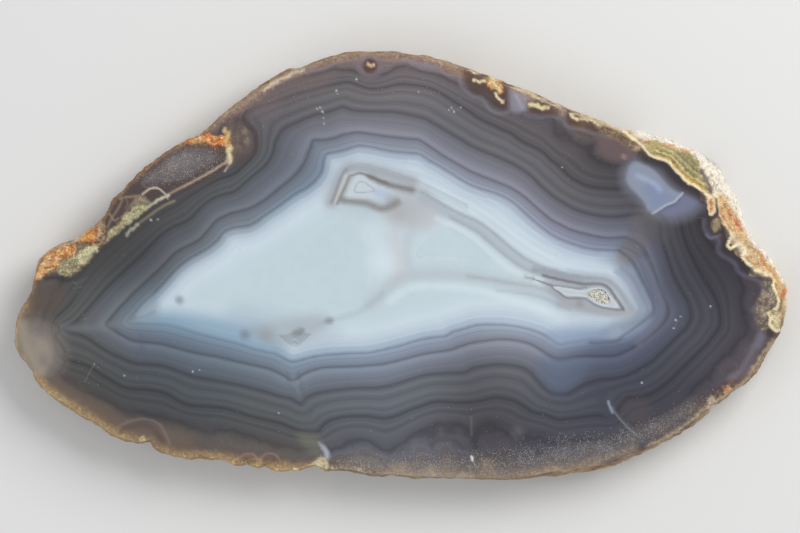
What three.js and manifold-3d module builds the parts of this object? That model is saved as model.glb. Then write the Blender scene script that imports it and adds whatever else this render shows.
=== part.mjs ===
// Agate slice: one slice of an agate nodule, sawn flat on its back and polished on its face.
// Millimetres, +Z up. The slice lies on its sawn back, with its polished face on top.
// The origin is under the middle of the slice, on the surface that it lies on.

import * as THREE from 'three';
import { mergeVertices } from 'three/addons/utils/BufferGeometryUtils.js';
import { ImprovedNoise } from 'three/addons/math/ImprovedNoise.js';
import Module from 'manifold-3d';

// Driving dimensions of the slice
const THICKNESS = 9;
const USUAL_SHELF = 0.5;
const WIDEST_SHELF = 6;
const TUCK = 2.2;

// The rim, anticlockwise seen from above, from the middle of the near edge.
// Each point is [x, y, shelf]: a place on the outermost line of the rind, and how far in from it
// the polished face stops. Where the shelf is left out, it is the usual one.
const NEAR_RIGHT_RIM = [
  [-0.2, -38.3], [5.2, -38.6], [10, -38.75], [16, -38.8], [21, -38.8], [24, -38.6, 0.7],
  [27, -38.2, 1.0], [31, -37.8, 1.1], [34.5, -37.2, 1.0], [37.6, -36.5, 0.7], [40.5, -35.3],
  [43.7, -33.9], [46.6, -32.5], [49.4, -31.1], [52, -29.4], [53.9, -28], [55.6, -26.5],
  [56.2, -25.4], [57.4, -25], [58.6, -24.2], [59.6, -23.2], [60.9, -22.3], [62.2, -21.5],
  [63.2, -20.5], [64.2, -19.3], [64.9, -17.9], [65.7, -16.6], [67.2, -14.2],
];
const BROKEN_RIGHT_RIM = [
  [68.2, -12.5, 0.7], [68.7, -11.4, 2.0], [69.2, -10.4, 3.0], [69.6, -9.2, 3.3], [70, -7.4, 3.0],
  [69.8, -6.3, 2.8], [69.5, -5.7, 2.5], [70, -4.7, 2.7], [69.7, -3.8, 2.7], [69.1, -2.7, 2.4],
  [68.4, -1.3, 2.6], [67.7, 0, 4.0], [66.9, 1.1, 4.9], [66.3, 2, 4.2], [65.7, 2.7, 3.7],
  [64.9, 3.1, 3.9], [64.1, 4.3, 4.6], [63.2, 5.8, 4.2], [62.1, 8.1, 4.4], [61.6, 9.9, 4.6],
  [61, 11.2, 4.6], [60.7, 12.6, 5.2], [59.9, 13.4, 5.4], [59.1, 14.7, 5.5], [58.3, 16.3, 5.6],
  [57.6, 17.6, 5.8], [57, 18.3, 5.9], [55.8, 19.1, 5.9], [54.8, 20.1, 5.6], [53.8, 20.8, 5.2],
  [52.7, 21.2, 4.9], [51.7, 21.4, 4.6], [50.2, 22.2, 4.4], [48.4, 23, 3.9], [46.6, 23.6, 3.5],
  [44.8, 23.9, 3.0], [43, 24.3, 2.2], [41.2, 24.3, 1.4], [39.5, 24.6, 1.0],
];
const FAR_RIM = [
  [36.6, 25.9, 0.9], [33.5, 27, 0.9], [30.4, 28.3, 0.9], [27.7, 29.4, 0.8], [24, 30.9, 0.8],
  [20, 32.6, 0.9], [17, 33.9, 0.9], [14.2, 34.8, 0.9], [11, 35.9, 0.9], [7.4, 37.1, 0.8],
  [5.2, 37.8, 0.6], [2.5, 38.3], [-0.5, 38.5], [-5, 38.6], [-9.2, 38.5], [-11.2, 38.2],
  [-14, 37.3], [-16.4, 36.4], [-18.2, 35.5], [-20, 35.3], [-21.8, 34.6], [-24, 33.2],
  [-27, 31.4], [-29.9, 29.3], [-32.2, 27.4], [-34.2, 25.4], [-36, 23.7],
];
const LEFT_RIM = [
  [-38, 22.9], [-40.5, 21.6], [-43, 20], [-45.2, 18.4], [-47.2, 16.8], [-49.2, 14.9],
  [-51.2, 12.7], [-52.3, 11.4], [-52.9, 9.8], [-54, 8.5, 0.7], [-56, 6.8, 0.8], [-58, 5.2, 0.8],
  [-59.5, 4.4, 0.8], [-61, 4, 0.8], [-62.8, 3.1, 0.8], [-64.3, 2, 0.7], [-65.5, 0.5, 0.7],
  [-66.1, -1.6], [-66.6, -3.8], [-67.1, -5.6], [-68, -7.1], [-69, -9], [-69.7, -11],
  [-70, -13.1], [-69.8, -15.1], [-68.8, -16.6], [-67.7, -17.7], [-66.7, -19.1], [-66.1, -20.6],
];
const NEAR_LEFT_RIM = [
  [-65, -22.2], [-63.2, -23.8], [-61, -25.2], [-59.2, -26.3], [-57.8, -27.4], [-56, -28.2],
  [-54.2, -29.3], [-52.4, -30.7], [-50.6, -31.5], [-48.5, -32.1], [-46.6, -32.4], [-45.2, -32],
  [-44.6, -32.9], [-43.4, -33.8], [-41.6, -34.5], [-39.5, -34.9], [-37.8, -35.2], [-36.3, -34.8],
  [-34.4, -35.2], [-32.6, -35.4], [-30.8, -36.1], [-29, -36.4], [-27.7, -35.9], [-25.9, -36.7],
  [-24.6, -36.3], [-23.2, -37.2], [-20.9, -37.4], [-18.6, -37.4], [-16.9, -36.8], [-15.5, -36.4],
  [-13.7, -37.1], [-11, -37.2], [-8.3, -37.4], [-5.6, -38.1], [-2.9, -38.2],
];
const RIM = [...NEAR_RIGHT_RIM, ...BROKEN_RIGHT_RIM, ...FAR_RIM, ...LEFT_RIM, ...NEAR_LEFT_RIM];
const STEPS_PER_POINT = 2;

// The rings of the edge, as shares of the thickness from the polished face down to the sawn back
const RING_DEPTHS = [0, 0.06, 0.12, 0.2, 0.33, 0.47, 0.61, 0.75, 0.88, 1];

// The outermost line lies high on the near and left sides and low under a wide shelf, and wanders.
const HIGH_WIDEST_DEPTH = 0.22;
const LOW_WIDEST_DEPTH = 0.84;
const WIDEST_WANDER = 0.16;
const WANDER_SIZE = 14;

// The steps of the rind layers, [share of the drop, share of the shelf]: a first lip, a flat ledge,
// a steep riser and the outer skin, which slopes away to the outermost line.
const LAYER_STEPS = [[0, 0], [0.1, 0.1], [0.2, 0.42], [0.46, 0.5], [0.62, 0.78], [0.85, 0.95], [1, 1]];

// Dents and pits of the rind, each pattern lifted off the others in its noise, and the chips along
// the broken edge of the polished face
const DENT_DEPTH = 1.5;
const DENT_SIZE = 5;
const DENT_LIFT = 3;
const PIT_DEPTH = 0.8;
const PIT_SIZE = 2.1;
const PIT_LIFT = 7;
const FULL_DENT_DEPTH = 0.14;
const CHIP_SHARE = 0.22;
const CHIP_SIZE = 2.6;

// How many rim points to each side set a point's outward direction
const DIRECTION_REACH = 7;

// The crystal-lined hollow in the polished face: its mouth, and [share of the mouth, depth] down to
// the floor
const HOLLOW_MIDDLE = [35.6, -5.7];
const HOLLOW_MOUTH = [
  [33.4, -5.2], [34.3, -4.6], [35.3, -4.3], [36.3, -4.4], [37, -5], [37.5, -5.9], [37.7, -6.7],
  [37.1, -7], [36.1, -6.8], [35.2, -6.5], [34.4, -6.1], [33.7, -5.7],
];
const HOLLOW_FLARE = [[1.25, -0.6], [1, 0], [0.94, 0.7], [0.78, 1.7], [0.5, 2.3], [0.2, 2.5]];
const HOLLOW_STEPS = 20;
const LEAST_SHARE = 0.05;

// The quartz crust in the hollow: a thin bowl, with a gap to the stone, and the crystals on it
const CRUST_GAP = 0.3;
const CRUST_TOP_DEPTH = 0.15;
const CRUST_BED = [[0.2, 1.25], [0.5, 1.1], [0.72, 0.7], [0.96, 0.42], [0.95, 0.8], [0.7, 1.8], [0.3, 2.15]];
const CRYSTAL_RINGS = [
  { count: 1, share: 0, lean: 5 },
  { count: 5, share: 0.38, lean: 9 },
  { count: 9, share: 0.7, lean: 18 },
];
const CRYSTAL_RADIUS = 0.3;
const CRYSTAL_LENGTH = 0.8;
const CRYSTAL_TIP = 0.32;
const CRYSTAL_SIDES = 6;
const CRYSTAL_TAPER = 0.92;
const CRYSTAL_VARIATION = 0.55;
const CRYSTAL_STRIDE = 1.7;
const RING_STRIDE = 2.3;
const RING_TURN = 0.13;
const CRYSTAL_ROOT_DEPTH = 1.45;
const CRYSTAL_BOWL_RISE = 0.75;

// Finishes
const AGATE = new THREE.MeshStandardMaterial({ color: 0x8d919b, roughness: 0.14, metalness: 0 });
const QUARTZ = new THREE.MeshStandardMaterial({ color: 0xd8d8d2, roughness: 0.2, metalness: 0 });

const wasm = await Module();
wasm.setup();
const roughness = new ImprovedNoise();

// The noise of a size at a place, from about -0.7 to 0.7, with its pattern lifted off the others
function noiseAt(x, y, z, size, lift) {
  return roughness.noise(x / size, y / size, z / size + lift);
}

// A value at share s along a list of [s, value] steps
function stepped(steps, s) {
  const next = steps.findIndex(([at]) => at >= s);
  if (next <= 0) {
    return next === 0 ? steps[0][1] : steps[steps.length - 1][1];
  }
  const [s0, v0] = steps[next - 1];
  const [s1, v1] = steps[next];
  return THREE.MathUtils.lerp(v0, v1, (s - s0) / (s1 - s0));
}

// A closed body of stacked rings: a cylinder whose points are moved to place(step, ring), with its
// two end fans drawn to place(null, ring).
function ringBody(steps, rings, place) {
  const body = new THREE.CylinderGeometry(1, 1, 1, steps, rings - 1);
  body.rotateX(Math.PI / 2);
  const position = body.getAttribute('position');
  for (let i = 0; i < position.count; i += 1) {
    const [x, y, z] = [position.getX(i), position.getY(i), position.getZ(i)];
    const ring = Math.round((0.5 - z) * (rings - 1));
    const turn = THREE.MathUtils.euclideanModulo(Math.atan2(x, -y) / (2 * Math.PI), 1);
    const step = Math.hypot(x, y) < 0.5 ? null : Math.round(turn * steps) % steps;
    position.setXYZ(i, ...place(step, ring));
  }
  return body;
}

// A geometry as an exact solid for cutting and joining, and back
function toSolid(geometry) {
  const bare = geometry.clone();
  bare.deleteAttribute('normal');
  bare.deleteAttribute('uv');
  const merged = mergeVertices(bare);
  return new wasm.Manifold(new wasm.Mesh({
    numProp: 3,
    vertProperties: new Float32Array(merged.getAttribute('position').array),
    triVerts: new Uint32Array(merged.index.array),
  }));
}

function toGeometry(solid) {
  const mesh = solid.getMesh();
  const geometry = new THREE.BufferGeometry();
  geometry.setAttribute('position', new THREE.BufferAttribute(new Float32Array(mesh.vertProperties), 3));
  geometry.setIndex(new THREE.BufferAttribute(new Uint32Array(mesh.triVerts), 1));
  geometry.computeVertexNormals();
  return geometry;
}

// The rim as evenly stepped points of a smooth closed curve, each with its outward direction, which
// is taken over a longer stretch so that a wide shelf keeps its points in order
function rimPoints() {
  const curve = new THREE.CatmullRomCurve3(
    RIM.map(([x, y, shelf = USUAL_SHELF]) => new THREE.Vector3(x, y, shelf)),
    true,
    'centripetal',
  );
  const points = curve.getPoints(RIM.length * STEPS_PER_POINT).slice(0, -1);
  return points.map((point, i) => {
    const before = points[(i - DIRECTION_REACH + points.length) % points.length];
    const after = points[(i + DIRECTION_REACH) % points.length];
    const along = new THREE.Vector2(after.x - before.x, after.y - before.y).normalize();
    return { x: point.x, y: point.y, shelf: point.z, outX: along.y, outY: -along.x };
  });
}

// The stone: the rind falls in steps from the edge of the face to the outermost line, and tucks in
// below it to the edge of the back.
function stoneBody() {
  const rim = rimPoints();
  return ringBody(rim.length, RING_DEPTHS.length, (step, ring) => {
    const depth = RING_DEPTHS[ring];
    const height = THICKNESS * (1 - depth);
    if (step === null) {
      return [0, 0, height];
    }
    const { x, y, shelf, outX, outY } = rim[step];
    const wide = Math.min(1, shelf / WIDEST_SHELF);
    const wander = WIDEST_WANDER * (1 - wide) * noiseAt(x, y, 0, WANDER_SIZE, 0);
    const widest = THREE.MathUtils.lerp(HIGH_WIDEST_DEPTH, LOW_WIDEST_DEPTH, wide) + wander;
    const chips = 1 + CHIP_SHARE * noiseAt(x, y, 0, CHIP_SIZE, 0);
    const shelfIn = shelf * chips * (1 - stepped(LAYER_STEPS, Math.min(1, depth / widest)));
    const below = Math.max(0, (depth - widest) / (1 - widest));
    const tuckIn = TUCK * (1 - wide) * below * below;
    const fromEdges = Math.min(depth, 1 - depth, Math.abs(depth - widest)) / FULL_DENT_DEPTH;
    const dent = DENT_DEPTH * Math.max(0, noiseAt(x, y, height, DENT_SIZE, DENT_LIFT));
    const pit = PIT_DEPTH * Math.max(0, noiseAt(x, y, height, PIT_SIZE, PIT_LIFT));
    const inward = shelfIn + tuckIn + Math.min(1, fromEdges) * (dent + pit);
    return [x - outX * inward, y - outY * inward, height];
  });
}

// The mouth of the hollow as evenly stepped points about its middle
function mouthPoints() {
  const curve = new THREE.CatmullRomCurve3(
    HOLLOW_MOUTH.map(([x, y]) => new THREE.Vector3(x - HOLLOW_MIDDLE[0], y - HOLLOW_MIDDLE[1], 0)),
    true,
  );
  return curve.getSpacedPoints(HOLLOW_STEPS).slice(0, -1).reverse();
}

// A body in the hollow, from rings of [share of the mouth, depth], drawn in by a gap
function hollowBody(rings, gap) {
  const mouth = mouthPoints();
  return ringBody(mouth.length, rings.length, (step, ring) => {
    const [share, depth] = rings[ring];
    const z = THICKNESS - depth;
    if (step === null) {
      return [...HOLLOW_MIDDLE, z];
    }
    const reach = mouth[step].length();
    const scale = Math.max(LEAST_SHARE, share - gap / reach);
    return [HOLLOW_MIDDLE[0] + mouth[step].x * scale, HOLLOW_MIDDLE[1] + mouth[step].y * scale, z];
  });
}

// One quartz crystal: a six-sided column with a six-sided point, standing on its root
function crystal(radius, length) {
  const side = [
    new THREE.Vector2(0, 0),
    new THREE.Vector2(radius, 0),
    new THREE.Vector2(radius * CRYSTAL_TAPER, length),
    new THREE.Vector2(0, length + CRYSTAL_TIP),
  ];
  const geometry = new THREE.LatheGeometry(side, CRYSTAL_SIDES);
  geometry.rotateX(Math.PI / 2);
  return geometry;
}

// The crust: its bowl and all its crystals in one solid, kept clear of the stone
function crustSolid() {
  const mouth = mouthPoints();
  let crust = toSolid(hollowBody(CRUST_BED, CRUST_GAP));
  CRYSTAL_RINGS.forEach(({ count, share, lean }, ring) => {
    for (let i = 0; i < count; i += 1) {
      const turn = i / count + ring * RING_TURN;
      const from = mouth[Math.round(turn * mouth.length) % mouth.length];
      const vary = 1 + CRYSTAL_VARIATION * noiseAt(i * CRYSTAL_STRIDE, ring * RING_STRIDE, 0, 1, 0.5);
      const one = crystal(CRYSTAL_RADIUS * vary, CRYSTAL_LENGTH * vary);
      const facing = new THREE.Vector3(-from.x, -from.y, 0).normalize();
      const tilt = new THREE.Vector3(0, 0, 1).cross(facing).normalize();
      one.rotateZ(turn * Math.PI);
      one.applyMatrix4(new THREE.Matrix4().makeRotationAxis(tilt, THREE.MathUtils.degToRad(lean * vary)));
      const root = THICKNESS - CRYSTAL_ROOT_DEPTH + CRYSTAL_BOWL_RISE * share * share;
      one.translate(HOLLOW_MIDDLE[0] + from.x * share, HOLLOW_MIDDLE[1] + from.y * share, root);
      crust = crust.add(toSolid(one));
    }
  });
  const room = HOLLOW_FLARE.map(([share, depth]) => [share, Math.max(CRUST_TOP_DEPTH, depth - CRUST_GAP)]);
  const grown = crust.intersect(toSolid(hollowBody(room.slice(1), CRUST_GAP)));
  return grown.decompose().sort((a, b) => b.volume() - a.volume())[0];
}

const hollow = toSolid(hollowBody(HOLLOW_FLARE, 0));
const stone = toGeometry(toSolid(stoneBody()).subtract(hollow));
stone.computeBoundingBox();
const middle = stone.boundingBox.getCenter(new THREE.Vector3());

const agateSlice = new THREE.Mesh(stone, AGATE);
agateSlice.name = 'agate_slice';
const quartzCrust = new THREE.Mesh(toGeometry(crustSolid()), QUARTZ);
quartzCrust.name = 'quartz_crust';

const slice = new THREE.Group();
slice.add(agateSlice, quartzCrust);
slice.position.set(-middle.x, -middle.y, 0);

export default slice;
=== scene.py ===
# %% [markdown]
# An agate slice, from its sawn slab to its finished look.
# A nodule of banded agate was sawn into a slice and one face was polished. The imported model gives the
# slice's true size and its rough form. This lesson builds the fine stone around it: the bands that
# grew inwards from the rim, the rind, the crystals in the small hollow, and the stage it lies on.

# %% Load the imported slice
import math
import random

import bmesh
import bpy
import numpy as np
from mathutils import Matrix, Vector, noise


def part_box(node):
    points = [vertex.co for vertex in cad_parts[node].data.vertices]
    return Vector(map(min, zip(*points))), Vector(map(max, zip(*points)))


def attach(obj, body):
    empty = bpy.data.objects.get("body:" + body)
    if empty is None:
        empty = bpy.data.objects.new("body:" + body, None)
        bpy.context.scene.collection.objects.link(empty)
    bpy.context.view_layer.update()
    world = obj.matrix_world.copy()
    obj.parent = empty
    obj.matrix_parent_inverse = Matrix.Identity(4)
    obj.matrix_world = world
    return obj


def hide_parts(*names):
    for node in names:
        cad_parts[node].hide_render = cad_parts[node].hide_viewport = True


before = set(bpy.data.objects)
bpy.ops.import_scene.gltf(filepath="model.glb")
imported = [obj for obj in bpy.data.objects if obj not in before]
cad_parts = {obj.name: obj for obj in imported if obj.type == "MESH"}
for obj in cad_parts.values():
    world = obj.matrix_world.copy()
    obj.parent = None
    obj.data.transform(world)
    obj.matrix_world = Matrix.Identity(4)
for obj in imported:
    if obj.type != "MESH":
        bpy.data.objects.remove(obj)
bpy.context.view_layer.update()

MM = 0.001

# %% [markdown]
# The camera looks straight down on the polished face, as the photograph does. A long lens far above
# keeps the low rind and the high face at the same scale, so the slice shows no perspective.
# The photograph spans 800 pixels of 0.18 mm each, which sets how high the camera stands.

# %% The camera
PIXEL_MM = 0.18
PHOTO_WIDTH = 800
PHOTO_MIDDLE = (400, 266.5)
ZERO_PIXEL = (401, 265)
SHIFT_TO_MODEL = (-0.053, 0.098)
THICKNESS = 9
LENS = 300
SENSOR = 36
NEAREST_SEEN, FURTHEST_SEEN = 0.01, 10


def model_place(x, y):
    """A place read off the photograph, in mm from its zero pixel, as x and y of the model in mm."""
    return x + SHIFT_TO_MODEL[0], y + SHIFT_TO_MODEL[1]


view_x, view_y = model_place((PHOTO_MIDDLE[0] - ZERO_PIXEL[0]) * PIXEL_MM,
                             (ZERO_PIXEL[1] - PHOTO_MIDDLE[1]) * PIXEL_MM)
view_height = THICKNESS + PHOTO_WIDTH * PIXEL_MM * LENS / SENSOR
camera = bpy.data.objects.new("camera", bpy.data.cameras.new("camera"))
camera.data.lens = LENS
camera.data.sensor_width = SENSOR
camera.data.clip_start, camera.data.clip_end = NEAREST_SEEN, FURTHEST_SEEN
camera.location = (view_x * MM, view_y * MM, view_height * MM)
bpy.context.scene.collection.objects.link(camera)
bpy.context.scene.camera = camera
print("camera height, mm:", round(view_height))

# %% [markdown]
# Soft studio light: a big key light from the upper right, where it catches the broken rind, a weaker
# fill from the lower left, and an even pale surround. All of them stand well away from straight
# above, so that the polish doesn't mirror a lamp into the camera.

# %% Lights, surround and floor
LAMPS = [
    ("key light", (0.42, 0.36, 0.5), 0.5, 4.2, (1, 0.985, 0.96)),
    ("fill light", (-0.5, -0.3, 0.45), 0.7, 1.6, (0.96, 0.98, 1)),
]
SURROUND = (0.93, 0.95, 1.0)
SURROUND_STRENGTH = 0.45

for name, place, size, power, colour in LAMPS:
    lamp = bpy.data.objects.new(name, bpy.data.lights.new(name, "AREA"))
    lamp.data.size = size
    lamp.data.energy = power
    lamp.data.color = colour
    lamp.location = place
    lamp.rotation_euler = (-Vector(place)).to_track_quat("-Z", "Y").to_euler()
    bpy.context.scene.collection.objects.link(lamp)

world = bpy.data.worlds.new("studio")
world.use_nodes = True
world.node_tree.nodes["Background"].inputs["Color"].default_value = (*SURROUND, 1)
world.node_tree.nodes["Background"].inputs["Strength"].default_value = SURROUND_STRENGTH
bpy.context.scene.world = world
bpy.context.scene.view_settings.view_transform = "Standard"


def linear(colour):
    """A colour as the eye reads it on a screen, 0 to 255, as the linear numbers that shaders use."""
    shares = [value / 255 for value in colour]
    return tuple(s / 12.92 if s < 0.04045 else ((s + 0.055) / 1.055) ** 2.4 for s in shares)


def mesh_object(name, form, materials):
    """A bmesh as an object of the scene, at the origin, with its materials."""
    mesh = bpy.data.meshes.new(name)
    form.to_mesh(mesh)
    form.free()
    for material in materials:
        mesh.materials.append(material)
    made = bpy.data.objects.new(name, mesh)
    bpy.context.scene.collection.objects.link(made)
    return made


def plain_material(name, colour, roughness):
    """A material with one Principled shader, for a recipe to build on."""
    material = bpy.data.materials.new(name)
    material.use_nodes = True
    shader = material.node_tree.nodes["Principled BSDF"]
    shader.inputs["Base Color"].default_value = (*linear(colour), 1)
    shader.inputs["Roughness"].default_value = roughness
    return material, shader


FLOOR_SIDE = 3
FLOOR_COLOUR = (226, 226, 224)
form = bmesh.new()
bmesh.ops.create_grid(form, x_segments=1, y_segments=1, size=FLOOR_SIDE / 2)
floor_finish, _ = plain_material("pale floor", FLOOR_COLOUR, 0.8)
floor = mesh_object("floor", form, [floor_finish])
print("lamps:", len(LAMPS), "floor side, m:", FLOOR_SIDE)

# %% [markdown]
# The bands. An agate fills a hole in rock from the wall inwards, so every band repeats the one outside
# it a little smaller. Five strong lines of the photograph are traced here, from the pale core out,
# each as places in mm along a closed line. All the finer bands lie between them.

# %% The strong growth lines, read off the photograph
CORE_LINE = [
    (-49.4, -10.4), (-47.5, -10.6), (-44, -10.7), (-42, -10.8), (-40, -11.3), (-37.9, -12), (-35.8, -12.6),
    (-32, -13.6), (-29.9, -14.1), (-26.8, -15.1), (-23.9, -15.8), (-22.7, -16), (-21.4, -16.7),
    (-20.1, -17.4), (-19.3, -17.5), (-18.1, -17.3), (-16.8, -16.9), (-13.6, -16.3), (-8.4, -16),
    (-5.9, -15.9), (-3.9, -15.5), (0, -14.6), (1.9, -14), (3.8, -13.5), (6.1, -13.1), (8, -12.9),
    (9.3, -12.2), (11, -11.7), (12.6, -11.2), (14.2, -10.85), (18, -10.85), (19.8, -11), (21.7, -11.35),
    (23.8, -11.9), (25.5, -12.6), (26.9, -13.4), (27.9, -14.1), (28.7, -14.4), (29.9, -14.1), (31.9, -13.8),
    (33.9, -13.4), (35.9, -13.5), (37.6, -13.7), (39.2, -13.5), (40.6, -13.3), (41.9, -12.4), (43.3, -11.3),
    (44.6, -10.1), (45.4, -9.1), (45.8, -8.1), (45.5, -7.2), (44.9, -6.2), (43.6, -3.6), (42.4, -0.9),
    (41.85, 0.3), (41, 1.6), (40.1, 2.1), (39.3, 2.7), (36.8, 2.8), (34.9, 2.9), (33, 3.25), (30.4, 4.1),
    (27.8, 5.2), (25.9, 6.5), (23.9, 8.1), (20.7, 11), (19.1, 12.1), (17.5, 12.9), (14.8, 13.7),
    (12.7, 14.4), (10.6, 15.6), (8.8, 16.8), (5.2, 18.9), (4, 19.65), (3.1, 20.1), (1.6, 20.25),
    (-0.2, 20.4), (-2.3, 20.7), (-4.4, 21.15), (-6.2, 21.45), (-7.7, 21.6), (-9.2, 21.15), (-11.3, 20.55),
    (-13.4, 20.1), (-14, 18.9), (-14.3, 17.1), (-15.2, 15.6), (-17.3, 13.8), (-18.8, 13.05), (-22.4, 10.5),
    (-24.2, 9.3), (-27.2, 7.3), (-30.2, 6.8), (-32, 5.95), (-33, 4.7), (-34.4, 3.5), (-36.4, 2.3),
    (-38.3, 1.2), (-40, -0.1), (-41.4, -1.5), (-43, -3.3), (-44.7, -5.1), (-46.7, -6.9), (-48.2, -8.8),
]
HALO_LINE = [
    (-53.1, -10.8), (-52, -11.5), (-50.3, -12.6), (-48.2, -13.6), (-45.8, -13.95), (-43.4, -14.2),
    (-41, -14.8), (-39.2, -15.3), (-35.1, -16.2), (-33, -16.5), (-30.2, -17.2), (-26.1, -18.1),
    (-24, -18.6), (-22.3, -19.3), (-21, -20), (-19.5, -20.8), (-17.5, -19.6), (-15.55, -18.8),
    (-13.3, -18.4), (-7.8, -18.2), (-5.2, -18), (-3.3, -17.8), (-1.3, -17.4), (0.6, -16.9), (2.5, -16.4),
    (4.8, -15.9), (8.7, -15.3), (10.3, -14.8), (12.2, -14.15), (14.8, -13.7), (17.1, -13.4), (19.5, -13.4),
    (21.5, -13.7), (23.5, -14.3), (25.2, -15.3), (26.7, -16.3), (27.9, -16.8), (29.2, -16.8), (31.2, -16.5),
    (33.2, -16.4), (37.6, -16.4), (39.2, -16.1), (40.9, -15.3), (42.6, -14.3), (44.25, -13.1),
    (45.9, -11.8), (47.3, -10.4), (47.9, -9.3), (48.1, -8.3), (47.9, -7.2), (46.5, -4), (45.9, -2),
    (45.1, 0.3), (44.3, 2), (43.6, 3.1), (42.65, 3.9), (40.7, 4.9), (38.8, 4.9), (36.8, 4.9), (34.9, 5.2),
    (33, 5.7), (31, 6.2), (29.1, 7.1), (27.1, 8.1), (25.5, 9.4), (22.3, 12.2), (20.7, 13.3), (19.1, 14.2),
    (17.3, 14.9), (13.3, 16.5), (11.5, 17.4), (9.4, 18.6), (7.6, 19.65), (6.1, 20.7), (4.3, 21.9),
    (3.1, 22.6), (1.6, 22.7), (-2.3, 23.1), (-4.4, 23.4), (-6.2, 23.7), (-8, 23.85), (-10.4, 23.4),
    (-12.2, 22.8), (-14, 22.5), (-15.8, 22.5), (-16.2, 21.3), (-16.7, 20.1), (-17.3, 18.6), (-18.5, 16.8),
    (-20, 15.3), (-21.5, 14.1), (-24.5, 11.7), (-27.2, 10.2), (-30.2, 9.4), (-32, 8.7), (-33.3, 7.9),
    (-34.7, 6.3), (-36.1, 4.7), (-37.5, 3.8), (-39.2, 3), (-40.6, 2.1), (-42.2, 0.5), (-43.6, -0.9),
    (-47.3, -4.3), (-49, -6), (-50.8, -7.8), (-52, -9.3),
]
MIDDLE_LINE = [
    (-61, -11.4), (-59.8, -12.2), (-58.3, -12.4), (-56.8, -13), (-55.3, -13.9), (-54.1, -14.8),
    (-52.6, -15.7), (-50.8, -16.5), (-49, -17.3), (-47.5, -17.7), (-43.9, -18), (-41.8, -18.5),
    (-40, -19.1), (-38.2, -19.8), (-36.2, -20.3), (-33, -20.9), (-28.8, -21.7), (-25.2, -22.6),
    (-21.4, -23.7), (-19.75, -24), (-18.1, -25), (-17.2, -24), (-15.9, -23.35), (-14.6, -23), (-13, -22.7),
    (-11, -22.4), (-8.4, -22.2), (-4.6, -22.1), (-2, -21.7), (0, -21.1), (3.2, -20.1), (5.1, -19.7),
    (7.7, -19.5), (10, -19.4), (11.6, -19.3), (13.2, -18.5), (14.8, -18.2), (17.1, -17.9), (19.4, -18),
    (21.3, -18.35), (23, -19.1), (24.2, -20.3), (25.2, -21.5), (26.2, -22.5), (27.2, -23.15), (28.5, -23.3),
    (29.9, -23.25), (31.2, -22.65), (32.5, -21.8), (34.2, -21.1), (35.9, -20.6), (37.6, -20.5),
    (39.2, -20.3), (41.2, -19.6), (44.9, -17.5), (46.6, -16), (49.9, -12.7), (51.3, -11.4), (52, -10),
    (52.2, -9), (51.9, -7.4), (51.2, -5.8), (49.4, -2.6), (48.6, -0.6), (47.3, 3.25), (46.7, 5.5),
    (46.5, 7.45), (44.5, 9), (42.65, 9.2), (40.7, 8.9), (38.8, 8.7), (36.8, 8.7), (34.9, 9), (33, 9.45),
    (31, 10.2), (29.1, 11.3), (27.1, 12.6), (25.2, 14.2), (23.6, 15.85), (22, 17.1), (20, 18.3),
    (18.3, 19.1), (13, 21.3), (11.2, 22.35), (9.4, 23.4), (6.1, 25.35), (4.6, 26.25), (3.1, 26.7),
    (-0.2, 27.4), (-2.3, 27.6), (-6.8, 27.7), (-8.6, 27.9), (-9.8, 28.3), (-10.7, 28.5), (-12.2, 27.9),
    (-14.3, 27.3), (-15.8, 27), (-18.8, 25.65), (-20.3, 25.05), (-21.5, 24.15), (-22.2, 23.1),
    (-22.7, 22.2), (-23, 20.7), (-23.6, 19.2), (-24.8, 17.7), (-27.3, 15.7), (-28.8, 14.3), (-30.2, 13.2),
    (-32, 12.7), (-33.7, 12.1), (-35.4, 11), (-36.8, 9.6), (-37.8, 8.5), (-39.3, 7.6), (-41, 6.9),
    (-42.9, 5.7), (-44.3, 4.4), (-47.3, 1.3), (-50.8, -1.9), (-52.6, -3.6), (-54.5, -5.7), (-58.5, -10),
]
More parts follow.
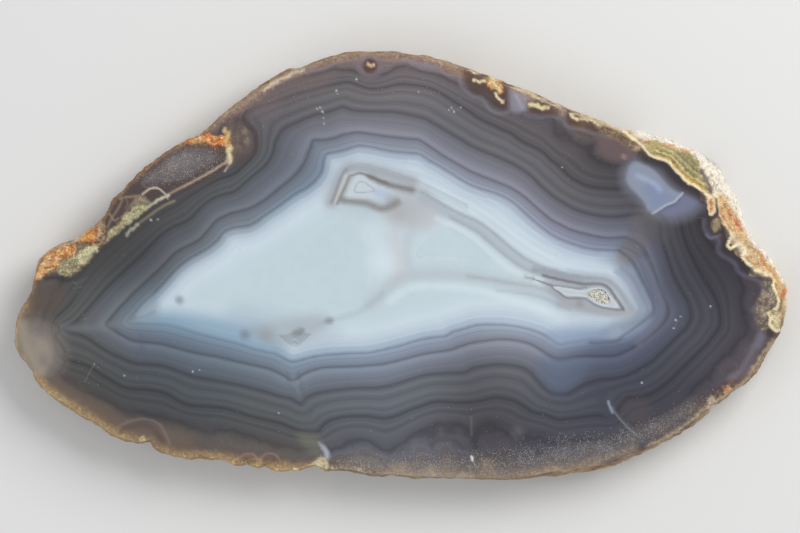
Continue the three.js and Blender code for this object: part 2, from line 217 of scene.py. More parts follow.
OUTER_LINE = [
    (-60.5, -17), (-58.6, -17.5), (-57.1, -17.9), (-55.6, -18.6), (-54.1, -19.65), (-52.6, -20.5),
    (-51.1, -21.4), (-49.6, -22.1), (-47.8, -22.35), (-46, -22.4), (-43.9, -22.7), (-42.1, -23.2),
    (-40.6, -24.1), (-39.1, -24.9), (-37.6, -25.35), (-34.4, -25.5), (-32.3, -25.7), (-30.2, -26.2),
    (-28.1, -26.9), (-25.6, -27.6), (-21.7, -28.5), (-19.75, -29.3), (-18.1, -29.8), (-16.8, -30),
    (-14.9, -30), (-14.4, -29.3), (-13.6, -28.5), (-12.6, -27.9), (-11.3, -27.55), (-9.7, -27.3),
    (-7.8, -27.2), (-5.9, -27.2), (-3.9, -27.55), (-2.3, -27.55), (-0.7, -27.1), (0.9, -26.4), (4.2, -25.2),
    (5.8, -24.7), (7.7, -24.6), (10, -24.8), (12.2, -24.7), (14.2, -24.5), (16.1, -24), (17.7, -23.9),
    (19.6, -24.25), (21.2, -24.8), (22.4, -25.6), (23.2, -26.2), (24.5, -26.7), (26.2, -27), (27.9, -27.7),
    (29.9, -27.7), (33.9, -27.2), (35.9, -27.2), (37.6, -27.5), (39.2, -25.9), (40.6, -24), (41.9, -23.8),
    (43.6, -23.65), (45.3, -23), (46.9, -22), (48.6, -20.6), (49.9, -19.3), (53.3, -16), (55, -14.3),
    (56.3, -12.6), (57.3, -11.2), (57.5, -9.7), (57.1, -7.2), (56.2, -5.3), (54.3, -2.2), (52.3, 1.6),
    (51.4, 3.6), (50.7, 5.8), (50.2, 8), (48.5, 10.3), (46.5, 11.6), (43.5, 12.8), (41, 14), (39.4, 13.75),
    (35.5, 13.9), (33.6, 14.2), (32, 14.9), (30.4, 15.85), (28.8, 17.5), (27.1, 18.8), (25.5, 20.4),
    (22, 22.15), (19.6, 23.85), (17.8, 24.6), (14.2, 26.4), (12.4, 27.6), (8.8, 30), (7.3, 30.9),
    (5.5, 31.8), (3.7, 32.25), (1.6, 32.55), (-0.2, 32.6), (-1.4, 32.4), (-3.2, 31.95), (-5, 31.8),
    (-6.2, 31.95), (-8, 32.55), (-9.2, 33), (-10.7, 32.85), (-14.3, 32.1), (-18.8, 30.9), (-21.2, 30),
    (-23.6, 29.25), (-27.2, 28.2), (-28.5, 27), (-28, 25.2), (-26.5, 24), (-26, 22), (-26.3, 20), (-28, 18),
    (-30, 16.3), (-33, 15.3), (-36, 13.6), (-38.5, 12), (-40.5, 10.6), (-43, 9.2), (-46, 7), (-49, 4.6),
    (-52, 2), (-54.5, -0.5), (-57, -3.5), (-59.5, -7), (-62.5, -10), (-62.8, -13), (-61.8, -16),
]
RIND_LINE = [
    (-62, -19), (-61, -20.3), (-58, -21.5), (-55, -23.3), (-52, -25), (-49, -26.3), (-46, -27),
    (-43, -27.3), (-40, -28.3), (-36, -29.2), (-32, -29.6), (-28, -30.4), (-24, -31.6), (-20, -32.6),
    (-16, -33), (-11.3, -32.4), (-9.7, -31.6), (-7.8, -31.3), (-5.9, -31.75), (-3.9, -32.7), (-2, -32.9),
    (0, -32), (2, -30.6), (4.2, -29.3), (5.8, -28.7), (7.7, -28.5), (10, -28.6), (11.6, -29.3),
    (13.3, -29.2), (14.8, -28.3), (16.4, -28.4), (18, -28.7), (19.35, -29.5), (20.6, -30.3), (22.2, -30),
    (23.8, -30.3), (25.85, -31), (27.5, -31.7), (29.5, -31.85), (31.9, -31.5), (34.5, -31.2), (37.9, -30.7),
    (39.9, -30.35), (41.9, -29), (44.6, -27.7), (46.3, -27), (47.9, -26), (49.6, -25), (51.3, -23.65),
    (52.95, -21.65), (54.6, -20), (56, -18.6), (59, -15.3), (60.65, -13.3), (61.3, -11.3), (61, -8.9),
    (61, -3), (60.1, -0.95), (58.8, 1), (57.2, 2.6), (55.6, 4.2), (54.3, 5.8), (53.7, 8), (53.2, 11),
    (51, 13.2), (48, 14.8), (45.5, 17.5), (43, 18.6), (40.7, 18.4), (38.8, 17.95), (36.8, 18.1),
    (34.9, 18.8), (33.6, 20), (32.3, 21), (29.4, 22.3), (28.1, 23.3), (27.1, 24.6), (25, 26), (22, 27.2),
    (18.5, 28.6), (15, 30.3), (11, 31.9), (8, 33.4), (5, 34.6), (2, 35.4), (-1, 35.5), (-3.5, 34.2),
    (-6, 33.7), (-8.5, 34.8), (-12, 35), (-16, 34.2), (-20, 33), (-24, 31.2), (-27, 29.6), (-30, 27.5),
    (-32, 25.5), (-33, 23), (-34, 20), (-37, 16.8), (-40, 15.2), (-43, 13.8), (-46, 12), (-49, 9.7),
    (-52, 7), (-55, 4.2), (-58, 1.2), (-60.5, -2), (-62.5, -5.5), (-64, -9), (-64.6, -12), (-64.4, -15),
    (-63.2, -18),
]
GROWTH_LINES = [CORE_LINE, HALO_LINE, MIDDLE_LINE, OUTER_LINE, RIND_LINE]
print("places on the growth lines:", [len(line) for line in GROWTH_LINES])

# %% [markdown]
# The marks. Things grew in the hole before the agate filled it, and iron stained the stone later, so
# the bands are crossed by cream threads, an orange patch, pods, a pale patch and more. They lie in
# the polished face, so they are colour, and the crumbly ones get only a fine grain with painted shade
# between the crumbs. The stains of the broken rind are laid in the same way, and so are a painted
# highlight on its white skin and painted shade along its broken edge, in its gap and in its groove.
# Each mark is a stroke, a patch or a spot with its place in mm, in the order in which a painter would
# lay them over the bands.

# %% The marks, read off the photograph
MARKS = []
CREAM = (226, 214, 172)
STRAW = (208, 202, 154)
TAN = (178, 154, 134)
THREAD_BROWN = (146, 122, 102)
RUST = (150, 74, 36)


def line(name, colour, width, points, strength=1, soft=0.14, grain=0, closed=False):
    """A stroke along points, of a width in mm. Its edge is this soft, in mm, and its colour this grainy."""
    MARKS.append(dict(kind="line", name=name, colour=colour, size=width / 2, points=points,
                      strength=strength, soft=soft, grain=grain, closed=closed))


def patch(name, colour, points, strength=1, soft=0.3, grain=0):
    """A filled outline."""
    MARKS.append(dict(kind="patch", name=name, colour=colour, size=0, points=points,
                      strength=strength, soft=soft, grain=grain, closed=True))


def spot(name, colour, place, radius, strength=1, soft=0.3, grain=0):
    """A round spot."""
    MARKS.append(dict(kind="spot", name=name, colour=colour, size=radius, points=[place],
                      strength=strength, soft=soft, grain=grain, closed=False))


def lines(name, colour, width, routes, *manner):
    """Several strokes that look alike."""
    for points in routes:
        line(name, colour, width, points, *manner)


def spots(name, colour, places, *manner):
    """Several spots that look alike, each an x, a y and a radius in mm."""
    for x, y, radius in places:
        spot(name, colour, (x, y), radius, *manner)


# The core: the field, its bloom, and the smoke between the eye and the kite
patch("blue of the near left", (132, 164, 186), [(-45, -8.8), (-38, -8.6), (-30, -9.8), (-24, -11.4),
    (-21.6, -15.4), (-26, -14.6), (-36, -12.2), (-45, -10.4)], 0.8, 2.2)
patch("blue of the near right", (140, 158, 184), [(26.6, -12.6), (29, -11.2), (34, -11), (40, -11),
    (43.8, -8.6), (44.6, -10.4), (41, -12.9), (36, -13.7), (29, -14.4)], 0.75, 1.5)
patch("dusk round the kite", (126, 136, 152), [(37.6, 1.4), (40.4, 0.6), (43, -2.4), (45.2, -7.6),
    (43.4, -10.6), (39, -12), (36, -12.4), (38, -10.6), (41.4, -9), (42.2, -7), (41, -3.6), (39.2, -1)],
    0.85, 1.4)
spot("core bloom", (220, 231, 238), (-3.4, 0.6), 2, 0.75, 3.2)
spot("warm light of the core", (214, 224, 229), (-5, 5.4), 1.6, 0.6, 2.6)
line("warm bloom", (206, 199, 203), 1.8, [(-1.4, 5.6), (-0.8, 3), (0, 0.8), (-0.2, -1.6)], 0.5, 1.5)
line("grey column", (184, 192, 200), 1.3, [(2.2, 7.4), (1.3, 5), (1, 2.6), (1.3, 0.2)], 0.55, 1.1)
patch("smoke by the eye", (186, 186, 190), [(-2.8, 10.6), (0, 12.8), (3, 12.4), (6.2, 10.8), (8.2, 9),
    (7, 7.8), (5.2, 6.6), (3, 6.2), (0.6, 6.8), (-2, 8.2)], 0.7, 1.9)
spot("brown of the smoke", (176, 171, 169), (-0.4, 9.2), 1.6, 0.5, 1.9)
line("swoosh", (166, 173, 183), 1.9, [(4, 12.2), (6, 11), (8, 9.7), (10, 8.6), (12, 7.7), (14, 6.6),
    (16, 5.1), (18, 3.4), (20, 1.8), (22, 0.4), (24, -0.6), (26, -1.3), (30, -2.4), (34, -2.9)], 0.66, 1.05)
line("swoosh upper line", (142, 146, 155), 0.4, [(2, 13.7), (4, 13), (6, 11.8), (8, 10.6), (10, 9.5),
    (12, 8.6), (14, 7.7), (16, 6.3), (18, 4.6), (20, 2.9), (22, 1.4), (24, 0.3), (26, -0.5), (30, -1.6),
    (34, -2.2)], 0.7, 0.35)
line("swoosh lower line", (146, 149, 158), 0.5, [(9, 8.5), (12, 6.9), (14, 5.8), (16, 4.1), (18, 2.4),
    (20, 0.8), (22, -0.5), (24, -1.4), (27, -2.2), (30, -2.7)], 0.6, 0.45)
ARM = [
    (0, 15.3), (3, 14.5), (6, 13), (9, 11.3), (13, 9.3), (17, 6.5), (21, 3.4), (24, 1.5), (27, 0),
]
for step in range(7):
    rise = 0.62 * step
    line("arm lines", (186, 198, 208) if step % 2 else (226, 234, 238), 0.26, [(x + 0.35 * rise, y + rise)
        for x, y in ARM], 0.34 if step < 4 else 0.22, 0.32)
line("light under the swoosh", (218, 229, 235), 0.9, [(6.4, 8.4), (8, 7.7), (10, 6.8), (12, 5.6), (14, 4.1),
    (16, 2.3), (18, 0.5), (20, -0.9), (22, -1.8), (25, -2.9)], 0.5, 0.7)
line("line inside that light", (184, 194, 203), 0.25, [(8.6, 6.7), (10, 6), (12, 4.8), (14, 3.1),
    (16, 1.2)], 0.5, 0.25)
line("lower smoke", (180, 187, 193), 2.2, [(-5.5, -7), (-3.3, -5.1), (-1.3, -3.2), (1.9, -1.9), (8, -1.7),
    (14, -2.3), (20, -3.5), (25, -4.9), (30, -6.6)], 0.6, 1.2)
line("lower smoke line", (154, 160, 168), 0.5, [(12, -2), (16, -2.6), (20, -3.3), (24, -3.9), (27, -4.9),
    (29.6, -6.3)], 0.6, 0.5)
line("second smoke line", (160, 167, 175), 0.4, [(17, -4.6), (20, -4.9), (23, -5.3), (26, -6.1),
    (28.6, -7.3), (30.4, -8.1)], 0.55, 0.4)
line("lower light", (216, 228, 234), 1.1, [(-2, -6.4), (2, -4.1), (8, -3.9), (14, -4.6), (20, -6.2),
    (26, -8.2), (29.5, -9.1)], 0.65, 0.9)
line("inner polygon", (218, 228, 232), 0.3, [(9.2, 7.6), (6.7, 6.9), (4.6, 5.1), (2.9, 3), (2.8, 1),
    (5.8, 1.3), (11.8, 0.8)], 0.3, 0.4)
line("soft arch", (168, 180, 189), 0.7, [(-14.5, -10.6), (-13, -10), (-11, -9.6), (-9.1, -9), (-7.1, -8.2),
    (-5.5, -7), (-4.2, -6.1), (-3.3, -5.1)], 0.55, 0.6)

# The four-sided eye in the core
patch("haze round the eye", (160, 163, 167), [(-13.6, 10.6), (-12, 15.6), (-8.4, 18.2), (0, 16.6),
    (5.4, 13.6), (3, 8.4), (-5, 8.8)], 0.3, 2.2)
line("smoke above the eye", (148, 149, 153), 2, [(-12.6, 11.4), (-11.4, 15), (-9.9, 17.3), (-7.4, 17.6),
    (-4, 17), (-1, 16.1), (2, 15.2)], 0.62, 1.1)
for step in range(3):
    rise = 0.5 * step
    line("lines above the eye", (150, 151, 156), 0.18, [(-11.9 - 0.5 * rise, 11.4),
        (-10.6 - 0.6 * rise, 14.8), (-9.5 - 0.5 * rise, 16.8 + 0.5 * rise), (-7.2, 17.2 + rise),
        (-4, 16.4 + rise), (0, 15.2 + rise), (4, 13.6 + rise), (8, 11.8 + rise), (12, 9.8 + rise)], 0.5,
        0.2)
line("eye smoke", (136, 129, 125), 1.1, [(-5.2, 15.7), (-3.4, 14.9), (-1.6, 14.3), (0.2, 13.8), (2, 13.4)],
    0.75, 0.8)
line("smoke at the eye's foot", (116, 112, 111), 1, [(-10.5, 11.7), (-8, 11.4), (-6, 11), (-4.4, 10.5),
    (-3.2, 10.2), (-2.2, 10.6), (-0.8, 11.4)], 0.7, 0.8)
line("dark left of the eye", (120, 121, 125), 0.35, [(-12.5, 11.2), (-11.4, 14.2), (-10.5, 16.4),
    (-9.7, 17.2)], 0.6, 0.3)
patch("eye", (197, 208, 214), [(-10, 12.2), (-9.3, 15.4), (-8.4, 16), (-7.2, 16.1), (-5.6, 15.3),
    (-3.6, 14.3), (-1.4, 13.2), (-1, 12.7), (-2.6, 11.9), (-4, 11.6), (-6, 12)], 0.95, 0.35)
patch("eye lilac", (172, 185, 212), [(-5, 13.6), (-3.4, 13.6), (-1.6, 12.9), (-2.6, 12.1), (-4.2, 12)], 0.6,
    0.8)
spot("dusk at the eye's corner", (148, 154, 168), (-1.8, 11.9), 0.8, 0.5, 1.1)
line("eye outline", (108, 101, 97), 0.34, [(-11.5, 11), (-10.3, 13.6), (-9.35, 15.85), (-9.2, 16.05),
    (-7.4, 16.55), (-7.1, 16.55), (-5.2, 15.75), (-2.6, 14.8)], 0.85, 0.24)
line("eye outline end", (118, 110, 106), 0.7, [(-6, 16.1), (-4, 15.1), (-2, 14.4), (0, 14), (2, 13.6)],
    0.75, 0.45)
line("light left of the eye", (208, 208, 204), 0.26, [(-11.9, 11.3), (-10.7, 14.3), (-9.9, 16.2)], 0.75,
    0.18)
line("brown inside the eye", (150, 143, 137), 0.8, [(-10.8, 12), (-9.9, 14), (-9.1, 15.7)], 0.6, 0.45)
line("brown under the eye", (136, 130, 126), 0.9, [(-10.5, 11.6), (-8.1, 11.4), (-5.8, 11), (-4.1, 10.1),
    (-2, 10.3), (-0.4, 11.2)], 0.6, 0.6)
line("eye inner line", (152, 162, 178), 0.2, [(-8.3, 13.2), (-7.8, 14.8), (-6.8, 15), (-5.6, 14.2),
    (-4.7, 13.4), (-6.4, 13.1)], 0.8, 0.14, closed=True)

# The kite that holds the hollow, and the lines nested round its tip
patch("haze round the kite", (148, 160, 182), [(27, -2.6), (36, -1), (41, -2.6), (43.6, -7.8), (41, -11.4),
    (34, -11), (28, -8.2)], 0.32, 2.2)
line("band over the kite", (150, 153, 161), 1.1, [(24, -0.8), (28, -1.6), (32, -2.4), (36.4, -2.6),
    (38.4, -3.6), (39.9, -5.4), (41.5, -7.9)], 0.75, 0.4)
line("light over the kite", (176, 183, 194), 0.35, [(30, -0.9), (34, -1.5), (37, -1.8), (39.4, -3),
    (40.9, -5), (42.4, -7.8)], 0.7, 0.3)
line("light line round the tip", (172, 175, 181), 0.3, [(33, -2.8), (36.4, -2.9), (38, -3.9), (39.3, -5.4),
    (40.7, -7.7)], 0.75, 0.18)
line("outer light round the tip", (138, 148, 163), 0.8, [(38.6, -1.2), (40.8, -2.8), (42, -5.2), (43.4, -8),
    (42, -9.4)], 0.6, 0.4)
line("dark line round the tip", (92, 96, 108), 0.7, [(39.6, -0.6), (41.6, -2.4), (43, -5), (44.4, -8.2),
    (42.6, -10.2), (40, -11.4)], 0.55, 0.5)
patch("kite smoke", (160, 163, 169), [(25.6, -3), (30, -3.2), (34, -3.4), (36.6, -3.6), (38.8, -5.8),
    (41, -8.4), (38, -9), (33, -8.2), (29, -6.6)], 0.75, 0.7)
line("smoke under the kite", (166, 168, 172), 1.4, [(28.6, -7), (31, -7.4), (34.4, -8.2), (38, -8.7),
    (41.2, -8.6)], 0.8, 0.7)
spot("brown under the kite", (146, 138, 132), (32.2, -6.9), 0.6, 0.7, 0.8)
patch("kite", (190, 199, 206), [(27.2, -3.8), (30, -4.1), (32, -4.5), (33.5, -4.3), (34.8, -4),
    (36.2, -4.1), (37, -4.6), (38, -5.8), (39.3, -7.4), (39.1, -7.75), (37.8, -7.7), (36, -7.4), (35, -7),
    (34, -6.3), (33, -5.8), (31.5, -5.7), (30, -5.6), (28.5, -4.8)], 1, 0.16)
line("strong line over the kite", (104, 99, 101), 0.5, [(25.6, -1.9), (28, -2.5), (31, -3.1), (33, -3.4),
    (35.7, -3.4), (36.8, -3.7), (37.7, -4.5), (38.6, -5.8), (39.6, -7.3), (40, -8)], 0.85, 0.28)
line("kite upper line", (118, 118, 124), 0.22, [(24.4, -2.7), (27, -3.6), (29.6, -3.9), (31.6, -4.2),
    (33.4, -4)], 0.8, 0.16)
line("kite lower line", (112, 114, 126), 0.34, [(27.2, -4), (28.6, -5.1), (29.8, -5.9), (31.5, -6),
    (33.2, -6.1), (34.6, -7), (36.4, -7.7), (38.4, -8), (39.9, -8.1)], 0.8, 0.22)
line("kite inner line", (226, 230, 228), 0.16, [(27.6, -3.95), (30, -4.35), (32, -4.75), (33.6, -4.55),
    (34.9, -4.2), (36.1, -4.35), (36.9, -4.85), (37.9, -6.1), (39, -7.4), (37.6, -7.45), (36.1, -7.15),
    (35.1, -6.7), (34.1, -6.1), (33, -5.55), (31.5, -5.45), (30.1, -5.35), (28.8, -4.75)], 0.6, 0.14,
    closed=True)
line("dash", (132, 132, 138), 0.5, [(22.3, -2.1), (23, -2.3), (23.8, -2.5)], 0.7, 0.35)
line("thin end of the dash", (104, 102, 108), 0.2, [(23.8, -2.5), (25.2, -3), (27.1, -3.7)], 0.85, 0.16)

# Small clouds and dots in the core
patch("dim of the near left core", (152, 168, 186), [(-31, -10), (-22, -13.6), (-14, -14.6), (-11, -11.6),
    (-20, -9), (-29, -7)], 0.3, 2)
spot("left dot", (120, 134, 144), (-39.9, -6.3), 0.7, 0.85, 0.5)
spot("left dot ring", (170, 186, 196), (-39.9, -6.3), 1, 0.35, 0.7)
spot("soft dot", (124, 136, 148), (-28.1, -12.6), 0.9, 0.8, 0.6)
spot("brown dot", (146, 146, 150), (-24.2, -12.6), 1.1, 0.6, 1.1)
patch("core dot", (106, 110, 114), [(-19.8, -12.4), (-19.2, -11.7), (-17.9, -11.3), (-17.3, -11.7),
    (-17.9, -12.5), (-19, -12.8)], 0.9, 0.35)
patch("small dot", (122, 131, 141), [(-13.9, -10.2), (-13.2, -9.5), (-12.3, -9.6), (-12.2, -10.2),
    (-13, -10.6)], 0.8, 0.35)
patch("smudge", (160, 166, 168), [(-27, -11.4), (-22, -10), (-15, -8.8), (-13, -10.6), (-18, -14),
    (-24, -14)], 0.5, 1.6)
patch("corner smudge", (108, 112, 110), [(-49.3, -10.2), (-48.4, -9.1), (-47.6, -9.2), (-48, -10.1)], 0.8)
line("corner streak", (122, 130, 136), 0.4, [(-47.6, -9.7), (-46.1, -9.1), (-44.4, -8.4)], 0.65, 0.3)
for step in range(6):
    line("chevron", (118, 130, 140), 0.17, [(-20.1 - 0.36 * step, -12.4 - 0.06 * step),
        (-19.1, -12.9 - 0.32 * step), (-17.9 + 0.34 * step, -12.2 - 0.04 * step)], 0.62, 0.12)
patch("left tip of the core", (132, 148, 161), [(-49.6, -10.6), (-47.4, -8.6), (-44.6, -5.6), (-43.6, -8.4),
    (-45.4, -10.4)], 0.6, 1.3)
line("seam under the core", (96, 101, 112), 0.5, [(-20.4, -19.6), (-20.2, -21.2), (-19, -22.8),
    (-18, -24.2)], 0.5, 0.4)
line("second seam", (92, 94, 100), 0.35, [(-18.6, -19.4), (-18.2, -21), (-17.6, -23.4), (-17, -26.4),
    (-16, -28.4)], 0.5, 0.35)
line("light by the seam", (122, 128, 138), 0.5, [(-19.4, -19.6), (-19.1, -21.4), (-18.4, -23)], 0.5, 0.3)
line("left seam", (84, 94, 108), 0.6, [(-46.7, -12.8), (-46.7, -15), (-46.9, -17.2)], 0.5, 0.4)

# The brown seam at the right corner of the bands, and the pale patch beside it
patch("brown seam", (104, 98, 100), [(38.6, 2.4), (40.4, 5), (41.4, 8.4), (43.2, 9.8), (46.4, 8.8),
    (45.6, 5.4), (43.4, 2), (41.3, -0.4), (39.4, 0.2)], 0.5, 1)
for step in range(4):
    line("seam steps", (92, 86, 90), 0.2, [(39.7 + 0.7 * step, 3.2 + 1.7 * step),
        (41.6 + 0.8 * step, 2.6 + 1.6 * step), (43.2 + 0.8 * step, 1.4 + 1.8 * step)], 0.6, 0.22)
spot("seam shadow", (88, 88, 88), (44.7, 8.3), 1.2, 0.75, 1)
# A painted shadow, like the seam shadow before it.
patch("painted shadow in the seam's corner", (82, 80, 84), [(44, 7.6), (47.6, 7.6), (48.4, 5.4), (46.6, 3.6),
    (44.4, 4.6)], 0.5, 0.8)
spot("seam foot", (128, 118, 112), (40.1, 1.2), 0.9, 0.55, 1.1)
patch("pale patch haze", (124, 126, 140), [(40.2, 18.4), (42, 19.6), (45, 18.8), (47.4, 16.8), (49.4, 14.6),
    (52, 13.2), (54.6, 11.2), (53, 8.9), (49.4, 7.6), (46.6, 8.2), (44.4, 9.2), (42.4, 11.6), (39.9, 13.8),
    (39.4, 16.4)], 0.55, 1.2)
patch("pale patch", (142, 150, 168), [(41.8, 18.6), (43.4, 18.3), (45.4, 17.2), (46.8, 15.8), (48, 14.4),
    (49.6, 13.2), (50.6, 12.8), (49.2, 11.4), (47.6, 10.8), (46.4, 9.9), (45, 9.6), (44.3, 10),
    (43.8, 11.2), (42.6, 12.6), (41.2, 14), (40.5, 15.4), (40.8, 17.2)], 0.88, 0.4)
patch("blue of the patch", (118, 134, 168), [(44.6, 15.4), (46.6, 14.6), (48.2, 13), (49.4, 12.2),
    (47.8, 11), (46, 10.2), (44.9, 10.4), (44.4, 12.2), (43.6, 13.8)], 0.55, 1)
line("light of the patch", (170, 183, 208), 0.7, [(42.6, 16), (44.2, 15.4), (45.8, 14.5), (46.6, 13.6)],
    0.7, 0.7)
patch("lilac of the patch", (118, 122, 152), [(46.8, 9.6), (48, 10.5), (49.4, 11.1), (50.8, 12.5),
    (52.4, 12), (53.4, 11.2), (52.2, 10), (50.2, 9.2), (48.4, 8.8)], 0.7, 0.7)
line("shade under the crack", (84, 92, 120), 0.4, [(46.2, 9.5), (47.6, 10.3), (49, 10.9), (50.2, 12)], 0.6,
    0.3)
line("pale patch crack", (204, 216, 224), 0.24, [(45.2, 9.3), (46.4, 9.9), (47.4, 10.6), (48.2, 11),
    (49.2, 11.4), (50, 12.2), (50.7, 13)], 0.75, 0.18)

# The upper left: the frosted lobe, the orange streak and its halo, and the threads
patch("ground of the lobe", (80, 66, 63), [(-52.6, 9.6), (-49.6, 13.6), (-46, 17), (-42.6, 19.9),
    (-38, 21.6), (-33, 21.4), (-30.6, 19.6), (-32.6, 16.4), (-37, 14.2), (-41.6, 11.8), (-47.4, 9.2),
    (-52.6, 5)], 0.9, 0.6)
patch("frosted lobe", (106, 97, 97), [(-46.6, 14.8), (-44, 17.6), (-41, 19.8), (-37.4, 20.9), (-34.6, 20.8),
    (-33.4, 19), (-35.6, 17.4), (-38.6, 15.8), (-42, 15), (-44.6, 14.4)], 0.8, 0.8)
patch("light of the lobe", (128, 122, 122), [(-42.4, 17.4), (-40.4, 19.8), (-37.4, 20.2), (-37.2, 18.6),
    (-39.4, 17)], 0.45, 1.2)
line("dark band under the lobe", (74, 62, 64), 0.9, [(-47.6, 13.4), (-44.4, 14.4), (-41.4, 14.3),
    (-38.6, 15.2), (-35.6, 17), (-33, 18.8)], 0.6, 0.6)
line("brown rim of the lobe", (146, 108, 80), 1.1, [(-53, 10.2), (-51.6, 12.2), (-49.8, 14.2),
    (-47.2, 16.6), (-44.8, 18.8), (-42.2, 20.8), (-39.4, 22.2), (-37, 23)], 0.85, 0.4, 0.6)
line("orange of the rim", (188, 116, 62), 0.5, [(-46, 17.4), (-44.2, 19), (-42.2, 20.4)], 0.7, 0.3, 0.8)
patch("inclusion halo", (118, 100, 90), [(-30.9, 25.4), (-28.6, 25), (-27.2, 23.4), (-27.2, 21),
    (-28.8, 19.8), (-30.6, 19.8)], 0.6, 0.9, 0.35)
spots("light in the halo", (178, 156, 136), [(-28.2, 24, 0.5), (-27.8, 22.2, 0.45), (-29.3, 21.2, 0.4),
    (-29.4, 23, 0.35)], 0.6, 0.35, 0.6)
line("halo border", (82, 60, 56), 0.7, [(-30.6, 26.4), (-28.4, 26), (-26.5, 24.4), (-26, 22), (-26.7, 19.9),
    (-28.8, 18.7), (-30, 17.6)], 0.7, 0.6)
line("ground of the orange streak", (110, 60, 38), 2.4, [(-38.4, 22.6), (-35.5, 22.7), (-33.4, 22.1),
    (-31.6, 21.9)], 0.8, 0.5, 0.5)
line("orange streak", (222, 126, 44), 1.5, [(-39.2, 22.5), (-37.4, 22.8), (-35.5, 22.9), (-34, 22.4),
    (-32.4, 22.3), (-31.2, 22.1)], 1, 0.3, 1)
line("cream bit", (236, 208, 150), 0.7, [(-40.2, 22.2), (-38.8, 23), (-37.4, 23.4), (-36.4, 23.1)], 0.9,
    0.22, 0.9)
line("second cream bit", (228, 190, 122), 0.5, [(-37.6, 22.4), (-36.4, 22.1), (-35.2, 22.6)], 0.8, 0.2, 0.9)
patch("brown by the orange end", (84, 66, 60), [(-30.6, 26), (-28.6, 25), (-27.2, 22), (-28.2, 19.4),
    (-30, 18.6), (-30.2, 21)], 0.5, 0.9)
line("cream column", (228, 192, 126), 0.8, [(-31.8, 24.4), (-31.2, 23.4), (-31.3, 22.2), (-30.8, 21.2),
    (-30.8, 19.9)], 0.9, 0.3, 0.8)
line("cream foot", CREAM, 0.8, [(-31.2, 20.8), (-30.8, 19.6), (-30.9, 18.6)], 0.9, 0.25, 0.6)
line("hook", (196, 178, 158), 0.3, [(-31.5, 18.8), (-30.9, 18.3), (-31.1, 17.8), (-31.7, 16.9)], 0.95)
line("hook branch", (186, 164, 142), 0.24, [(-31.6, 18.1), (-31.3, 18.9), (-31.4, 19.4)], 0.9)
line("shade of the main thread", (60, 54, 56), 0.6, [(-31.4, 17.9), (-34, 16.4), (-38, 14), (-42, 12),
    (-44.6, 10.4)], 0.5, 0.4)
line("main thread", TAN, 0.36, [(-31.1, 18.7), (-32.5, 17.9), (-34, 16.9), (-36, 15.8), (-38, 14.7),
    (-40, 13.7), (-42, 12.7)], 1, 0.16)
line("main thread light", (240, 232, 206), 0.46, [(-41.8, 12.6), (-43, 12), (-44, 11.5), (-45, 10.8),
    (-46, 10.2)], 0.95, 0.16, 0.3)
patch("web ground", (142, 132, 104), [(-48.6, 10.6), (-47.4, 12.2), (-46.2, 12.2), (-45, 11.3),
    (-45.8, 10.5), (-47.4, 9.8)], 0.75, 0.3, 0.6)
patch("thread band", STRAW, [(-45.6, 10.5), (-47, 10.8), (-48.4, 9.8), (-49.6, 9), (-50.4, 8.2),
    (-49.9, 7.6), (-49, 7.3), (-48.4, 8), (-47, 9), (-46, 9.9)], 1, 0.2, 1)
line("thread band end", (186, 176, 132), 1.2, [(-49.9, 7.6), (-51, 6.6), (-52, 5.8), (-53, 4.8),
    (-54, 4.4)], 0.95, 0.25, 1)
line("second thread", (160, 144, 120), 0.45, [(-40.8, 11.5), (-42, 11), (-43.5, 10.2), (-45, 9.1),
    (-46.4, 8.1), (-47.6, 7.2)], 0.95, 0.16)
line("second thread end", (212, 210, 188), 0.55, [(-47.4, 7.4), (-48.4, 6.5), (-49.4, 5.4)], 0.95, 0.2, 0.6)
line("loop", (222, 210, 184), 0.26, [(-46.6, 12.7), (-45.6, 13.5), (-44.6, 13.9), (-43.7, 13.8),
    (-42.9, 13.2), (-42.2, 12.6), (-42, 12)], 0.95)
line("loop foot", (180, 166, 134), 0.24, [(-47, 12.4), (-46.6, 11.7), (-45.6, 11.3), (-44.6, 11.3)], 0.85,
    0.14, 0.3)
for colour, width, points in (
        (THREAD_BROWN, 0.4, [(-50.6, 11.9), (-49.6, 12.2), (-48.4, 12.3), (-47, 12.5)]),
        (THREAD_BROWN, 0.3, [(-50.2, 11.6), (-50.8, 10.4), (-51.4, 9.4), (-52.2, 8.2), (-52.8, 6.8)]),
        (THREAD_BROWN, 0.26, [(-47.8, 12), (-48.6, 10.8), (-49.6, 9.4), (-50.4, 8.6)]),
        ((152, 128, 106), 0.3, [(-53, 9.8), (-52.2, 8.8), (-51.6, 8), (-50.8, 8.4)]),
        ((146, 116, 92), 0.3, [(-53.6, 8.2), (-53.2, 6.8), (-53.4, 5.6)]),
        ((128, 104, 88), 0.24, [(-49.6, 12.2), (-49.2, 11), (-49.6, 10.2)])):
    line("web", colour, width, points, 0.85, 0.15)

# The orange patch at the upper left edge
patch("ground of the orange patch", (120, 84, 56), [(-66.4, -3), (-65, -2.5), (-63.5, -1.7), (-62, -1.4),
    (-60, -2), (-58.4, -1.5), (-56.5, 0.5), (-55, 2), (-53.3, 4), (-52.8, 5.6), (-53.4, 7.6), (-54, 8.6),
    (-57, 6.2), (-60, 4.4), (-63.4, 2.9), (-65.6, 0.8)], 0.98, 0.3, 0.8)
patch("orange field", (226, 146, 66), [(-66.2, -2.6), (-65, -2.3), (-63.8, -1.2), (-62.2, -0.6), (-61, 1),
    (-59.2, 1.8), (-58.6, 3.2), (-60, 4.1), (-62.6, 3.2), (-65, 1.4), (-65.9, -0.6)], 0.92, 0.3, 1)
patch("orange wedge", (228, 142, 58), [(-58.8, 4.4), (-57, 4.3), (-55, 4.2), (-54.5, 5.6), (-54.6, 7.6),
    (-56, 6.9), (-57.4, 5.8)], 0.95, 0.25, 0.7)
